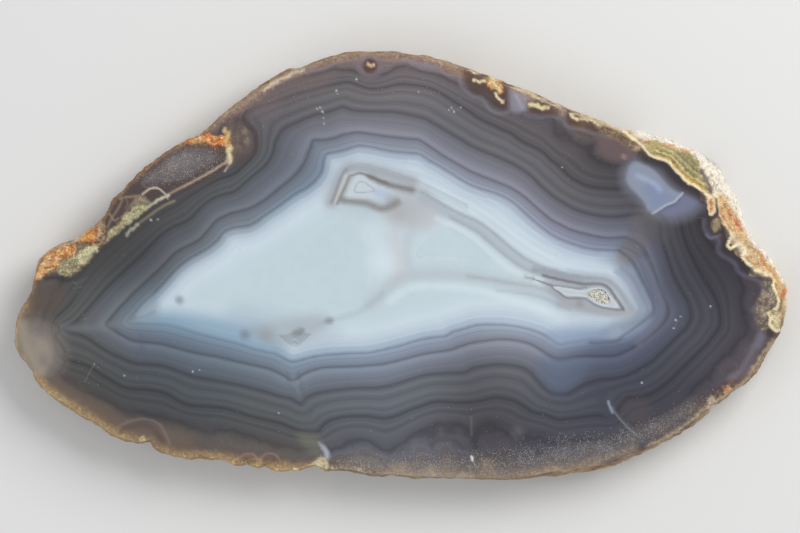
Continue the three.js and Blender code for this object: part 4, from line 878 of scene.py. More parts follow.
# %% The net of the stone
FACE_CUT = 0.48
BACK_CUT = 0.7
FLAT_TOLERANCE = 0.0005
SAME_PLACE = 1e-6
ON_THE_CUT = 1e-8
BOX_LOW, BOX_HIGH = (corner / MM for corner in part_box("agate_slice"))


def each_once(items):
    """The items in their order, each only once. A set would shuffle them, and no two runs would agree."""
    return list(dict.fromkeys(items))


def flat_faces(form, height):
    """The faces that lie flat at a height, in mm."""
    return [face for face in form.faces
            if all(abs(vertex.co.z / MM - height) < FLAT_TOLERANCE for vertex in face.verts)]


def slice_up(form, faces, axis, low, high, pitch):
    """Cuts the faces with parallel planes, one pitch apart, and gives all the pieces back."""
    rest, done = list(faces), []
    normal = Vector((0, 0, 0))
    normal[axis] = 1
    for count in range(1, math.ceil((high - low) / pitch)):
        at = (low + count * pitch) * MM
        verts = each_once(vertex for face in rest for vertex in face.verts)
        edges = each_once(edge for face in rest for edge in face.edges)
        cut = bmesh.ops.bisect_plane(form, geom=[*verts, *edges, *rest], dist=ON_THE_CUT,
                                     plane_co=normal * at, plane_no=normal)
        pieces = [item for item in cut["geom"] if isinstance(item, bmesh.types.BMFace)]
        rest = []
        for face in pieces:
            middle = sum(vertex.co[axis] for vertex in face.verts) / len(face.verts)
            (rest if middle > at else done).append(face)
    return done + rest


def net(form, height, pitch):
    """Turns a flat side into an even net of small faces."""
    faces = flat_faces(form, height)
    inner = each_once(edge for face in faces for edge in face.edges
                      if all(other in faces for other in edge.link_faces))
    bmesh.ops.dissolve_edges(form, edges=inner, use_verts=False, use_face_split=True)
    strips = slice_up(form, flat_faces(form, height), 0, BOX_LOW.x, BOX_HIGH.x, pitch)
    return slice_up(form, strips, 1, BOX_LOW.y, BOX_HIGH.y, pitch)


form = bmesh.new()
form.from_mesh(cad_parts["agate_slice"].data)
bmesh.ops.remove_doubles(form, verts=form.verts, dist=SAME_PLACE)
face_net = net(form, THICKNESS, FACE_CUT)
back_net = net(form, 0, BACK_CUT)
flat_sides = {*face_net, *back_net}
rind_edges = each_once(edge for face in form.faces if face not in flat_sides for edge in face.edges)
bmesh.ops.subdivide_edges(form, edges=rind_edges, cuts=1, use_grid_fill=True)
print("faces on the face:", len(face_net), "on the back:", len(back_net), "in all:", len(form.faces))

# %% [markdown]
# How far from the rim each place grew. Every place between two growth lines gets a number that runs
# from one line to the next, by its distance to both. The material later turns that number into
# bands, so they follow the traced lines and never cross.

# %% Distances to the lines, and growth
LINE_STEP = 0.4
CHUNK = 4096
CORE_DEPTH = 8


def smooth_line(points, closed=True):
    """The points joined by a smooth curve, as closely stepped places in model mm."""
    spots = np.array([model_place(*point) for point in points])
    count = len(spots)
    laid = []
    for i in range(count if closed else count - 1):
        before, start, end, after = [spots[k % count] if closed else spots[min(max(k, 0), count - 1)]
                                     for k in (i - 1, i, i + 1, i + 2)]
        steps = max(1, math.ceil(np.hypot(*(end - start)) / LINE_STEP))
        t = (np.arange(steps) / steps)[:, None]
        laid.append(start + 0.5 * (end - before) * t
                    + (before - 2.5 * start + 2 * end - 0.5 * after) * t ** 2
                    + (1.5 * (start - end) + 0.5 * (after - before)) * t ** 3)
    if not closed:
        laid.append(spots[-1:])
    return np.vstack(laid)


def nearest_step(places, line):
    """Which step of the line is nearest to each place, and how far off it is."""
    steps, gaps = np.empty(len(places), int), np.empty(len(places))
    for start in range(0, len(places), CHUNK):
        part = places[start:start + CHUNK]
        squares = (part[:, :1] - line[:, 0]) ** 2 + (part[:, 1:] - line[:, 1]) ** 2
        steps[start:start + CHUNK] = squares.argmin(1)
        gaps[start:start + CHUNK] = np.sqrt(squares.min(1))
    return steps, gaps


def reach(places, line, closed=True):
    """How far each place is from a line, in mm: above 0 on its left, below 0 on its right."""
    nearest, _ = nearest_step(places, line)
    best, side = np.full(len(places), np.inf), np.ones(len(places))
    for step in (-1, 0):
        first = nearest + step
        first = first % len(line) if closed else np.clip(first, 0, len(line) - 2)
        start, along = line[first], line[(first + 1) % len(line)] - line[first]
        share = np.clip(((places - start) * along).sum(1) / np.maximum((along ** 2).sum(1), 1e-12), 0, 1)
        gap = places - start - along * share[:, None]
        distance = np.hypot(*gap.T)
        turn = np.where(along[:, 0] * gap[:, 1] - along[:, 1] * gap[:, 0] >= 0, 1, -1)
        side = np.where(distance < best, turn, side)
        best = np.minimum(distance, best)
    return best * side


def outside(places, outline):
    """How far each place is outside a closed outline, in mm, and below 0 inside it."""
    following = np.roll(outline, -1, 0)
    anticlockwise = (outline[:, 0] * following[:, 1] - outline[:, 1] * following[:, 0]).sum() > 0
    return reach(places, outline) * (-1 if anticlockwise else 1)


def edge_places(form, height):
    """Places along the outer edge of a flat side, in model mm."""
    flat = set(flat_faces(form, height))
    edges = each_once(edge for face in flat_faces(form, height) for edge in face.edges
                      if any(other not in flat for other in edge.link_faces))
    return np.array([vertex.co.xy for edge in edges for vertex in edge.verts]) / MM


def growth_of(places, rim):
    """The growth number of each place: 0 deep in the core, 1 to 5 on the lines, 6 at the rim."""
    insides = [reach(places, smooth_line(line)) for line in GROWTH_LINES]
    insides.append(nearest_step(places, rim)[1])
    growth = 1 - np.clip(insides[0] / CORE_DEPTH, 0, 1)
    for level in range(1, len(insides)):
        outward, inward = -insides[level - 1], np.maximum(insides[level], 0)
        share = outward / np.maximum(outward + inward, 1e-6)
        growth = np.where(outward > 0, level + np.clip(share, 0, 1), growth)
    return growth


print("steps along the growth lines:", sum(len(smooth_line(line)) for line in GROWTH_LINES))

# %% [markdown]
# Fine marks need a finer net than the bands do. So the faces under a crisp mark are subdivided once
# more, and the rest of the net stays as it is, which keeps the stone light enough for its STL file.

# %% A finer net under the crisp marks
CRISP = 0.3
FINE_REACH = 0.35


def mark_places(mark):
    """Places along a mark's line or outline."""
    if mark["kind"] == "spot":
        return np.array([model_place(*mark["points"][0])])
    return smooth_line(mark["points"], mark["closed"])


face_net = flat_faces(form, THICKNESS)
middles = np.array([face.calc_center_median().xy for face in face_net]) / MM
chosen = np.zeros(len(face_net), bool)
for mark in MARKS:
    if mark["soft"] <= CRISP:
        along = mark_places(mark)
        reach_out = mark["size"] + FINE_REACH
        inside_box = (middles > along.min(0) - reach_out) & (middles < along.max(0) + reach_out)
        near = np.flatnonzero(inside_box.all(1))
        chosen[near[nearest_step(middles[near], along)[1] < reach_out]] = True
fine_edges = each_once(edge for face, wanted in zip(face_net, chosen) if wanted for edge in face.edges)
bmesh.ops.subdivide_edges(form, edges=fine_edges, cuts=1, use_grid_fill=True)
print("faces made finer:", int(chosen.sum()), "faces in all:", len(form.faces))

# %% [markdown]
# On the right the slice broke, and its rough rind shows from above. It carries stains, ridges and
# teeth, so it needs a fine net too. Its faces are long and narrow, so here the long edges are halved,
# round by round, and the short ones are left.

# %% A finer net on the broken rind
BROKEN_FROM = 37
FACING_UP = 0.1
RIND_EDGE = 0.5
RIND_ROUNDS = 3
for _ in range(RIND_ROUNDS):
    flat_sides = {*flat_faces(form, THICKNESS), *flat_faces(form, 0)}
    form.normal_update()
    long_edges = each_once(edge for face in form.faces
                           if face not in flat_sides and face.normal.z > FACING_UP
                           and face.calc_center_median().x / MM > BROKEN_FROM for edge in face.edges
                           if edge.calc_length() / MM > RIND_EDGE)
    bmesh.ops.subdivide_edges(form, edges=long_edges, cuts=1, use_grid_fill=True)
    print("long edges of the broken rind:", len(long_edges), "faces in all:", len(form.faces))

# %% [markdown]
# With the net done, each of its points gets its growth number. A side of the slice is reckoned from
# its own edge, because the rim slopes, so the bands of the back end where the back ends.

# %% The growth number of every place
places = np.array([vertex.co.xy for vertex in form.verts]) / MM
heights = np.array([vertex.co.z for vertex in form.verts]) / MM
on_back = heights < THICKNESS / 2
growth = np.zeros(len(places))
for part, height in ((on_back, 0), (~on_back, THICKNESS)):
    growth[part] = growth_of(places[part], edge_places(form, height))
print("growth numbers:", growth.min().round(2), "to", growth.max().round(2))

# %% [markdown]
# The marks are laid on the net as a colour with an opacity, and a second number says how grainy the
# mark is, so that the material can break it up. A slight wobble of every place keeps the strokes from
# looking ruled. Down the rim a mark wanders sideways, as stains in rock do, but the broken rind,
# which shows from above, keeps its traced places.

# %% Painting the marks
WOBBLE = 0.08
WOBBLE_SIZE = 0.7
RAGGED = 4.5
LOWEST_MARK = 0.3
WANDER = 3.2
WANDER_SIZE = 2.4
WANDER_DEPTH = 5
WANDER_FADE = 3


def soft_step(distance, edge, soft):
    """1 well inside the edge, 0 well outside it, and a smooth change between."""
    share = np.clip((edge + soft - distance) / (2 * soft), 0, 1)
    return share * share * (3 - 2 * share)


def sideways(levels, size):
    """A smooth random shift of every place, from noise of a size in mm."""
    return np.array([noise.noise_vector(Vector(spot_at) / size)[:2]
                     for spot_at in np.column_stack([places, levels])])


wobble = sideways(heights - THICKNESS, WOBBLE_SIZE) * WOBBLE
lowness = np.clip((THICKNESS - heights) / WANDER_DEPTH, 0, 1)
lowness = lowness * np.clip((BROKEN_FROM - places[:, 0]) / WANDER_FADE, 0, 1)
wander = sideways(heights, WANDER_SIZE) * WANDER * lowness[:, None]
layer = np.zeros((len(places), 4))
grain = np.zeros(len(places))
for mark in MARKS:
    along = mark_places(mark)
    margin = mark["size"] + mark["soft"]
    wandering = places + wander + wobble * (1 + RAGGED * mark["grain"])
    inside_box = (wandering > along.min(0) - margin) & (wandering < along.max(0) + margin)
    near = np.flatnonzero((heights > LOWEST_MARK) & inside_box.all(1))
    if mark["kind"] == "spot":
        away = np.hypot(*(wandering[near] - along[0]).T)
    elif mark["kind"] == "patch":
        away = outside(wandering[near], along)
    else:
        away = np.abs(reach(wandering[near], along, mark["closed"]))
    cover = soft_step(away, mark["size"], mark["soft"]) * mark["strength"]
    under = layer[near, 3] * (1 - cover)
    total = cover + under
    blend = np.outer(cover, linear(mark["colour"])) + layer[near, :3] * under[:, None]
    blend = blend / np.maximum(total, 1e-6)[:, None]
    layer[near, :3] = np.where(total[:, None] > 0, blend, layer[near, :3])
    layer[near, 3] = total
    grain[near] = grain[near] * (1 - cover) + mark["grain"] * cover
frost = np.full(len(places), LEAST_FROST)
for outline, density, soft in FROST:
    frost = np.maximum(frost, soft_step(outside(places, smooth_line(outline)), 0, soft) * density)
print("points under a mark:", int((layer[:, 3] > 0).sum()), "frosted:", int((frost > LEAST_FROST).sum()))

# %% [markdown]
# The bands aren't equally dark all round.
# Some places say how much darker or lighter the bands are there than in the recipe, and every other
# place takes a smooth mean of those near it. The core keeps the recipe's tones.

# %% Lighter and darker regions of the bands
SHADE_REACH = 6.5
CORE_EDGE = 0.72
CORE_FADE = 0.3
SHADES = [
    ((-66, -13), (1.05, 1.04, 0.98)), ((-62, -13), (0.74, 0.72, 0.66)), ((-54, -8), (0.87, 0.88, 0.85)),
    ((-46, 2), (0.69, 0.69, 0.66)), ((-36, 9), (0.86, 0.84, 0.8)), ((-26, 14), (0.85, 0.88, 0.87)),
    ((-20, 22), (0.8, 0.85, 0.87)), ((-10, 28), (0.9, 0.9, 0.9)), ((4, 26), (0.97, 0.96, 0.96)),
    ((18, 18), (1.04, 1.02, 1.01)), ((30, 10), (1.02, 0.99, 1.0)), ((42, 6), (0.93, 0.93, 0.97)),
    ((50, 0), (0.63, 0.63, 0.67)), ((57, -2), (0.52, 0.5, 0.54)), ((48, -9), (0.7, 0.71, 0.74)),
    ((56, -10), (0.74, 0.73, 0.79)), ((46, -16), (0.66, 0.68, 0.75)), ((60, -14), (0.87, 0.85, 0.86)),
    ((46, -24), (0.68, 0.66, 0.74)), ((34, -20), (0.59, 0.64, 0.72)), ((30, -27), (0.76, 0.77, 0.82)),
    ((22, -16), (1.16, 1.16, 1.14)), ((16, -24), (0.67, 0.66, 0.68)), ((2, -20), (1.03, 1.04, 1.04)),
    ((-4, -26), (0.98, 1.02, 1.06)), ((-14, -20), (0.96, 1.0, 1.0)), ((-24, -20), (0.87, 0.93, 0.94)),
    ((-36, -17), (0.84, 0.9, 0.91)), ((-46, -16), (0.74, 0.81, 0.85)), ((-40, -25), (0.76, 0.77, 0.77)),
    ((-52, -22), (0.79, 0.78, 0.71)), ((-24, -30), (0.88, 0.87, 0.81)), ((0, -34), (0.96, 1.01, 1.05)),
    ((30, -32), (0.8, 0.82, 0.9)), ((-50, 6), (0.46, 0.47, 0.47)), ((-40, 12), (0.76, 0.78, 0.79)),
    ((-24, 30), (1.08, 0.98, 0.94)), ((0, 35), (1.26, 1.18, 1.14)), ((26, 24), (0.98, 0.94, 0.92)),
    ((40, 18), (0.62, 0.61, 0.57)), ((-12, 33), (1.15, 1.1, 1.05)), ((52, 10), (0.52, 0.46, 0.44)),
]
weights = np.array([np.exp(-((places - model_place(*spot_at)) ** 2).sum(1) / (2 * SHADE_REACH ** 2))
                    for spot_at, _ in SHADES]) + 1e-9
factors = np.array([linear([255 * share for share in tone]) for _, tone in SHADES])
shade = np.einsum("sp,sc->pc", weights, factors) / weights.sum(0)[:, None]
outside_core = np.clip((growth - CORE_EDGE) / CORE_FADE, 0, 1)[:, None]
shade = 1 + (shade - 1) * outside_core
print("places with a tone of their own:", len(SHADES))

# %% [markdown]
# The tones of the bands. Each strong line is a dark hairline, the core is pale blue-white, the middle
# bands are grey-lilac, and the outer ones darken and turn brown near the rim. A colour ramp over the
# growth number lays them all at once. Three ramps share the work, because one has room for 32 stops.

# %% The bands as a node group
BAND_TONES = [
    (0, (196, 212, 218)), (0.25, (197, 213, 220)), (0.5, (203, 218, 226)), (0.62, (197, 212, 222)),
    (0.75, (187, 201, 213)), (0.88, (170, 184, 199)), (0.94, (156, 169, 185)), (0.975, (140, 151, 167)),
    (1.0, (124, 134, 149)), (1.04, (133, 144, 160)), (1.12, (146, 157, 173)), (1.3, (139, 148, 163)),
    (1.38, (131, 139, 154)), (1.47, (137, 145, 160)), (1.63, (130, 137, 152)), (1.8, (124, 130, 144)),
    (1.91, (115, 120, 133)), (1.98, (101, 105, 117)), (2.01, (104, 108, 120)), (2.06, (122, 127, 141)),
    (2.13, (137, 142, 156)), (2.22, (130, 135, 148)), (2.3, (122, 126, 139)), (2.38, (127, 131, 144)),
    (2.5, (115, 118, 130)), (2.6, (109, 112, 123)), (2.68, (115, 118, 129)), (2.8, (107, 109, 118)),
    (2.9, (99, 101, 109)), (2.97, (84, 85, 93)), (3.02, (82, 83, 90)), (3.1, (99, 100, 107)),
    (3.2, (106, 107, 113)), (3.3, (97, 98, 104)), (3.38, (90, 91, 96)), (3.46, (100, 101, 106)),
    (3.6, (104, 105, 110)), (3.7, (93, 94, 99)), (3.82, (99, 99, 104)), (3.92, (88, 87, 92)),
    (3.98, (74, 73, 78)), (4.03, (73, 72, 77)), (4.12, (88, 87, 92)), (4.28, (96, 95, 99)),
    (4.44, (86, 85, 90)), (4.6, (96, 94, 98)), (4.8, (90, 88, 92)), (4.92, (83, 80, 85)),
    (4.98, (73, 70, 75)), (5.05, (78, 75, 80)), (5.18, (94, 90, 94)), (5.3, (100, 95, 98)),
    (5.38, (107, 101, 105)), (5.44, (100, 92, 93)), (5.58, (106, 95, 90)), (5.74, (120, 103, 92)),
    (5.86, (140, 117, 96)), (5.94, (162, 136, 106)), (6, (186, 160, 124)),
]
RAMP_SPANS = [(0, 2), (2, 4), (4, 6)]


def node(tree, kind, **values):
    """A new node in a node tree, with some of its settings."""
    made = tree.nodes.new(kind)
    for name, value in values.items():
        setattr(made, name, value)
    return made


def calculate(tree, operation, first, second=None, third=None, clamp=False):
    """A Math node on sockets or numbers, and the socket that it gives."""
    made = node(tree, "ShaderNodeMath", operation=operation, use_clamp=clamp)
    for number, value in enumerate((first, second, third)):
        if isinstance(value, (int, float)):
            made.inputs[number].default_value = value
        elif value is not None:
            tree.links.new(value, made.inputs[number])
    return made.outputs[0]


def ramp(tree, value, stops):
    """A colour ramp with its stops, fed by a value."""
    made = node(tree, "ShaderNodeValToRGB")
    stop_list = made.color_ramp.elements
    while len(stop_list) < len(stops):
        stop_list.new(1)
    for stop, (at, colour) in zip(stop_list, stops):
        stop.position = at
        stop.color = (*linear(colour), 1)
    tree.links.new(value, made.inputs["Fac"])
    return made.outputs["Color"]


def mix(tree, share, first, second, blend="MIX"):
    """Two colours mixed by a share."""
    made = node(tree, "ShaderNodeMix", data_type="RGBA", blend_type=blend)
    for socket, value in ((made.inputs[0], share), (made.inputs[6], first), (made.inputs[7], second)):
        if isinstance(value, (int, float)):
            socket.default_value = value
        elif isinstance(value, tuple):
            socket.default_value = (*linear(value), 1)
        else:
            tree.links.new(value, socket)
    return made.outputs[2]


def group(name, inputs, outputs):
    """An empty node group with named inputs and outputs, and its two end nodes."""
    tree = bpy.data.node_groups.new(name, "ShaderNodeTree")
    for socket, kind, value in inputs:
        tree.interface.new_socket(socket, in_out="INPUT", socket_type=kind).default_value = value
    for socket, kind in outputs:
        tree.interface.new_socket(socket, in_out="OUTPUT", socket_type=kind)
    return tree, tree.nodes.new("NodeGroupInput").outputs, tree.nodes.new("NodeGroupOutput").inputs


bands, given, out = group("agate bands", [("Growth", "NodeSocketFloat", 0)],
                          [("Color", "NodeSocketColor")])
banded = None
for low, high in RAMP_SPANS:
    inside = [((at - low) / (high - low), colour) for at, colour in BAND_TONES if low <= at <= high]
    share = calculate(bands, "DIVIDE", calculate(bands, "SUBTRACT", given["Growth"], low), high - low,
                      clamp=True)
    tones = ramp(bands, share, inside)
    past = calculate(bands, "GREATER_THAN", given["Growth"], low)
    banded = tones if banded is None else mix(bands, past, banded, tones)
bands.links.new(banded, out["Color"])
print("tones along the growth:", len(BAND_TONES))

# %% [markdown]
# Grain. Cream threads, orange stain and broken rind are made of tiny crystals and crumbs. One group
# breaks a colour up by how grainy the place is: painted shade in the gaps between crumbs, painted
# light on their tops, and a height for a bump. The polished face and the rind both use it.

# %% The grain as a node group
CRUMB_SCALE = 2600
MOTTLE_SCALE = 1100
PATCH_SCALE = 1500
CRUMB_SWING = 0.0009
GAP_COLOUR = (150, 130, 118)
GREY = (0.5, 0.5, 0.5, 1)


def object_place(tree):
    """Where each point of a surface is in the model."""
    return node(tree, "ShaderNodeTexCoord").outputs["Object"]


def noise_at(tree, place, scale, detail=2.0, rough=0.5):
    """A Noise Texture of a scale on a place, and its value."""
    made = node(tree, "ShaderNodeTexNoise")
    made.inputs["Scale"].default_value = scale
    made.inputs["Detail"].default_value = detail
    made.inputs["Roughness"].default_value = rough
    tree.links.new(place, made.inputs["Vector"])
    return made.outputs["Fac"]


def cells_at(tree, place, scale):
    """A Voronoi Texture of a scale on a place: the distance to its cell middles, and its cell colours."""
    made = node(tree, "ShaderNodeTexVoronoi")
    made.inputs["Scale"].default_value = scale
    tree.links.new(place, made.inputs["Vector"])
    return made.outputs["Distance"], made.outputs["Color"]


def grey_of(tree, value):
    """A value as a grey colour."""
    made = node(tree, "ShaderNodeCombineColor")
    for socket in ("Red", "Green", "Blue"):
        tree.links.new(value, made.inputs[socket])
    return made.outputs["Color"]


def between(tree, value, low, high, least=0.0, most=1.0):
    """A value of low to high, carried over to least to most and kept there."""
    made = node(tree, "ShaderNodeMapRange")
    for socket, number in (("From Min", low), ("From Max", high), ("To Min", least), ("To Max", most)):
        made.inputs[socket].default_value = number
    tree.links.new(value, made.inputs["Value"])
    return made.outputs["Result"]


PALE_CRUMB = (240, 222, 178)
grainy, given, out = group(
    "crumbly grain and painted crumb shade",
    [("Color", "NodeSocketColor", GREY), ("Grain", "NodeSocketFloat", 0)],
    [("Color", "NodeSocketColor"), ("Height", "NodeSocketFloat")])
here = object_place(grainy)
shaken = node(grainy, "ShaderNodeVectorMath", operation="ADD")
swirl = node(grainy, "ShaderNodeTexNoise")
swirl.inputs["Scale"].default_value = MOTTLE_SCALE
grainy.links.new(here, swirl.inputs["Vector"])
swung = node(grainy, "ShaderNodeVectorMath", operation="SCALE")
swung.inputs["Scale"].default_value = CRUMB_SWING
grainy.links.new(swirl.outputs["Color"], swung.inputs[0])
grainy.links.new(here, shaken.inputs[0])
grainy.links.new(swung.outputs[0], shaken.inputs[1])
crumb, crumb_tone = cells_at(grainy, shaken.outputs[0], CRUMB_SCALE)
pick = node(grainy, "ShaderNodeSeparateColor")
grainy.links.new(crumb_tone, pick.inputs["Color"])
pale_patch = between(grainy, noise_at(grainy, shaken.outputs[0], PATCH_SCALE, 5, 0.7), 0.53, 0.62, 0, 0.7)
dim_patch = between(grainy, noise_at(grainy, here, PATCH_SCALE * 0.7, 5, 0.7), 0.37, 0.46, 0.75, 0)
pale_crumb = between(grainy, pick.outputs["Red"], 0.6, 0.8, 0, 0.3)
pale = calculate(grainy, "MULTIPLY", calculate(grainy, "MAXIMUM", pale_patch, pale_crumb), given["Grain"])
dim = calculate(grainy, "MULTIPLY", dim_patch, given["Grain"])
toned = mix(grainy, pale, given["Color"], PALE_CRUMB)
darker = mix(grainy, 1.0, given["Color"], GAP_COLOUR, "MULTIPLY")
toned = mix(grainy, dim, toned, darker)
# Painted light and shade: each crumb is lighter at its middle and shaded towards the gaps.
crumb_light_and_gap_shade = between(grainy, crumb, 0.15, 0.75, 1.16, 0.58)
mottle = between(grainy, noise_at(grainy, here, MOTTLE_SCALE, 4, 0.65), 0.35, 0.65, 0.8, 1.25)
broken = calculate(grainy, "MULTIPLY", crumb_light_and_gap_shade, mottle)
# The painted crumb shade and the mottle, as a factor on the colour.
strength = calculate(grainy, "MULTIPLY_ADD", calculate(grainy, "SUBTRACT", broken, 1), given["Grain"], 1)
grainy.links.new(mix(grainy, 1.0, toned, grey_of(grainy, strength), "MULTIPLY"), out["Color"])
grainy.links.new(calculate(grainy, "MULTIPLY", broken, given["Grain"]), out["Height"])
print("nodes in the grain:", len(grainy.nodes))

# %% [markdown]
# Frost and dust. Tiny white dots lie where the polish missed the edge, and a few more everywhere. Each
# dot is the middle of a small random cell, and how dense the frost is decides which cells have one.

# %% The frost as a node group
FROST_SCALE = 6500
FROST_CLUMPS = 500
FROST_COLOUR = (208, 204, 197)
frosting, given, out = group(
    "frost",
    [("Color", "NodeSocketColor", GREY), ("Frost", "NodeSocketFloat", 0)],
    [("Color", "NodeSocketColor")])
here = object_place(frosting)
dot, dot_tone = cells_at(frosting, here, FROST_SCALE)
pick = node(frosting, "ShaderNodeSeparateColor")
frosting.links.new(dot_tone, pick.inputs["Color"])
clump = between(frosting, noise_at(frosting, here, FROST_CLUMPS, 4, 0.6), 0.35, 0.65, 0.2, 1.35)
wanted = calculate(frosting, "MULTIPLY", given["Frost"], clump)
picked = calculate(frosting, "GREATER_THAN", calculate(frosting, "ADD", pick.outputs["Red"], wanted), 1.0)
shape = between(frosting, dot, 0.18, 0.5, 1, 0)
bright = between(frosting, pick.outputs["Green"], 0, 1, 0.12, 0.9)
cover = calculate(frosting, "MULTIPLY", calculate(frosting, "MULTIPLY", picked, shape), bright)
frosting.links.new(mix(frosting, cover, given["Color"], FROST_COLOUR), out["Color"])
print("nodes in the frost:", len(frosting.nodes))

# %% [markdown]
# The finishes. The polished face is smooth enough to mirror a lamp, and its bands lie under the
# surface, so it needs no bump but in the grain. The sawn back is the same stone, matt from the saw.
# The rind is rough and brown, with pits, and painted shade darkens the pits.

# %% The banded colour that the face and the back share
WAVER_SCALE = 500
WAVER = 0.04
SCALLOP_SCALE = 230
SCALLOP = 0.55
RIM_BEGINS, RIM_FULL = 4.6, 5.4
RIM_WAVER_SCALE = 330
RIM_WAVER = 0.9
HAIR_SCALES = ((6, 0.22), (17, 0.26), (38, 0.24), (80, 0.16), (150, 0.1))
CLOUD_SCALE = 90
CLOUD = 0.08


def attribute(tree, name, socket="Fac"):
    """A number or colour that the mesh carries."""
    return node(tree, "ShaderNodeAttribute", attribute_name=name).outputs[socket]


def banded_colour(tree, place):
    """The bands by growth number, with fine hairlines between the strong lines and soft clouds."""
    waver = calculate(tree, "SUBTRACT", noise_at(tree, place, WAVER_SCALE, 3), 0.5)
    near_rim = between(tree, attribute(tree, "growth"), RIM_BEGINS, RIM_FULL)
    bulge, _ = cells_at(tree, place, SCALLOP_SCALE)
    bulge = calculate(tree, "MULTIPLY", calculate(tree, "SUBTRACT", 0.4, bulge), SCALLOP)
    roughly = calculate(tree, "SUBTRACT", noise_at(tree, place, RIM_WAVER_SCALE, 5, 0.6), 0.5)
    bulge = calculate(tree, "MULTIPLY_ADD", roughly, RIM_WAVER, bulge)
    waver = calculate(tree, "MULTIPLY_ADD", waver, WAVER, calculate(tree, "MULTIPLY", bulge, near_rim))
    grown = calculate(tree, "ADD", waver, attribute(tree, "growth"))
    placed = node(tree, "ShaderNodeGroup", node_tree=bands)
    tree.links.new(grown, placed.inputs["Growth"])
    shade = None
    for scale, strength in HAIR_SCALES:
        hair = node(tree, "ShaderNodeTexNoise", noise_dimensions="1D")
        hair.inputs["Scale"].default_value = scale
        hair.inputs["Detail"].default_value = 1
        tree.links.new(grown, hair.inputs["W"])
        swing = calculate(tree, "MULTIPLY", calculate(tree, "SUBTRACT", hair.outputs["Fac"], 0.5), strength)
        shade = swing if shade is None else calculate(tree, "ADD", shade, swing)
    shade = calculate(tree, "MULTIPLY", shade, between(tree, grown, 0.4, 1.0, 0.1, 0.8))
    cloud = calculate(tree, "SUBTRACT", noise_at(tree, place, CLOUD_SCALE, 3), 0.5)
    cloud = calculate(tree, "MULTIPLY", cloud, CLOUD)
    light = calculate(tree, "ADD", calculate(tree, "ADD", shade, cloud), 1)
    lit = mix(tree, 1.0, placed.outputs["Color"], grey_of(tree, light), "MULTIPLY")
    return mix(tree, 1.0, lit, attribute(tree, "shade", "Color"), "MULTIPLY")


def marked(tree, colour):
    """The marks laid over a colour, grainy where they are, with painted crumb shade and the height of the
    grain.
    """
    ground = node(tree, "ShaderNodeGroup", node_tree=grainy)
    tree.links.new(attribute(tree, "marks", "Color"), ground.inputs["Color"])
    tree.links.new(attribute(tree, "grain"), ground.inputs["Grain"])
    covered = mix(tree, attribute(tree, "marks", "Alpha"), colour, ground.outputs["Color"])
    return covered, ground.outputs["Height"]


def bump(tree, shader, height, distance):
    """A bump from a height, as deep as a distance in metres."""
    made = node(tree, "ShaderNodeBump")
    made.inputs["Distance"].default_value = distance
    tree.links.new(height, made.inputs["Height"])
    tree.links.new(made.outputs["Normal"], shader.inputs["Normal"])


print("sizes of hairline:", len(HAIR_SCALES))

# %% The polished agate
POLISHED, SAWN, RIND, BED = range(4)
AGATE_IOR = 1.54
POLISH, CRUMBLY = 0.12, 0.45
GRAIN_RELIEF = 0.00006
polished, shader = plain_material("polished agate", (140, 145, 155), POLISH)
tree = polished.node_tree
shader.inputs["IOR"].default_value = AGATE_IOR
shader.inputs["Coat Weight"].default_value = 0.15
shader.inputs["Coat Roughness"].default_value = 0.04
place = object_place(tree)
colour, height = marked(tree, banded_colour(tree, place))
frosted = node(tree, "ShaderNodeGroup", node_tree=frosting)
tree.links.new(colour, frosted.inputs["Color"])
tree.links.new(attribute(tree, "frost"), frosted.inputs["Frost"])
tree.links.new(frosted.outputs["Color"], shader.inputs["Base Color"])
tree.links.new(between(tree, attribute(tree, "grain"), 0, 1, POLISH, CRUMBLY), shader.inputs["Roughness"])
bump(tree, shader, height, GRAIN_RELIEF)
print("nodes in the polished agate:", len(tree.nodes))

# %% The sawn back
SAW_HAZE = (176, 178, 182)
SAW_SCALE = 3000
SAW_RELIEF = 0.00002
sawn, shader = plain_material("sawn agate", (140, 145, 155), 0.55)
tree = sawn.node_tree
shader.inputs["IOR"].default_value = AGATE_IOR
place = object_place(tree)
haze = mix(tree, 0.25, banded_colour(tree, place), SAW_HAZE)
tree.links.new(haze, shader.inputs["Base Color"])
bump(tree, shader, noise_at(tree, place, SAW_SCALE, 3), SAW_RELIEF)
print("nodes in the sawn back:", len(tree.nodes))

# %% The rind
RIND_TONES = [(0.28, (88, 66, 48)), (0.4, (136, 106, 76)), (0.5, (172, 142, 104)),
              (0.6, (190, 164, 124)), (0.74, (216, 198, 162))]
STAIN_SCALE = 420
POCK_SCALE = 1400
LUMP_SCALE = 900
RIND_RELIEF = 0.0003
rind_finish, shader = plain_material("rind", (165, 140, 105), 0.8)
tree = rind_finish.node_tree
place = object_place(tree)
patches = ramp(tree, noise_at(tree, place, STAIN_SCALE, 6, 0.65), RIND_TONES)
pit, _ = cells_at(tree, place, POCK_SCALE)
# Painted shade: the skin's colour darkens in the pits.
dark = between(tree, pit, 0.05, 0.3, 0.45, 1.0)
skin = mix(tree, 1.0, patches, grey_of(tree, dark), "MULTIPLY")
colour, height = marked(tree, skin)
tree.links.new(colour, shader.inputs["Base Color"])
lumps = noise_at(tree, place, LUMP_SCALE, 6, 0.6)
lumps = calculate(tree, "ADD", lumps, calculate(tree, "MULTIPLY", dark, 0.5))
bump(tree, shader, calculate(tree, "ADD", lumps, height), RIND_RELIEF)
print("nodes in the rind:", len(tree.nodes))

# %% [markdown]
# The rind weathered and broke, so it is lumpy and pitted all round. A bump alone would leave its
# outline smooth, so its points are moved along their normals, by noise of four sizes and by pits. The
# two flat sides and the hollow stay put, and nothing may leave the model's box.

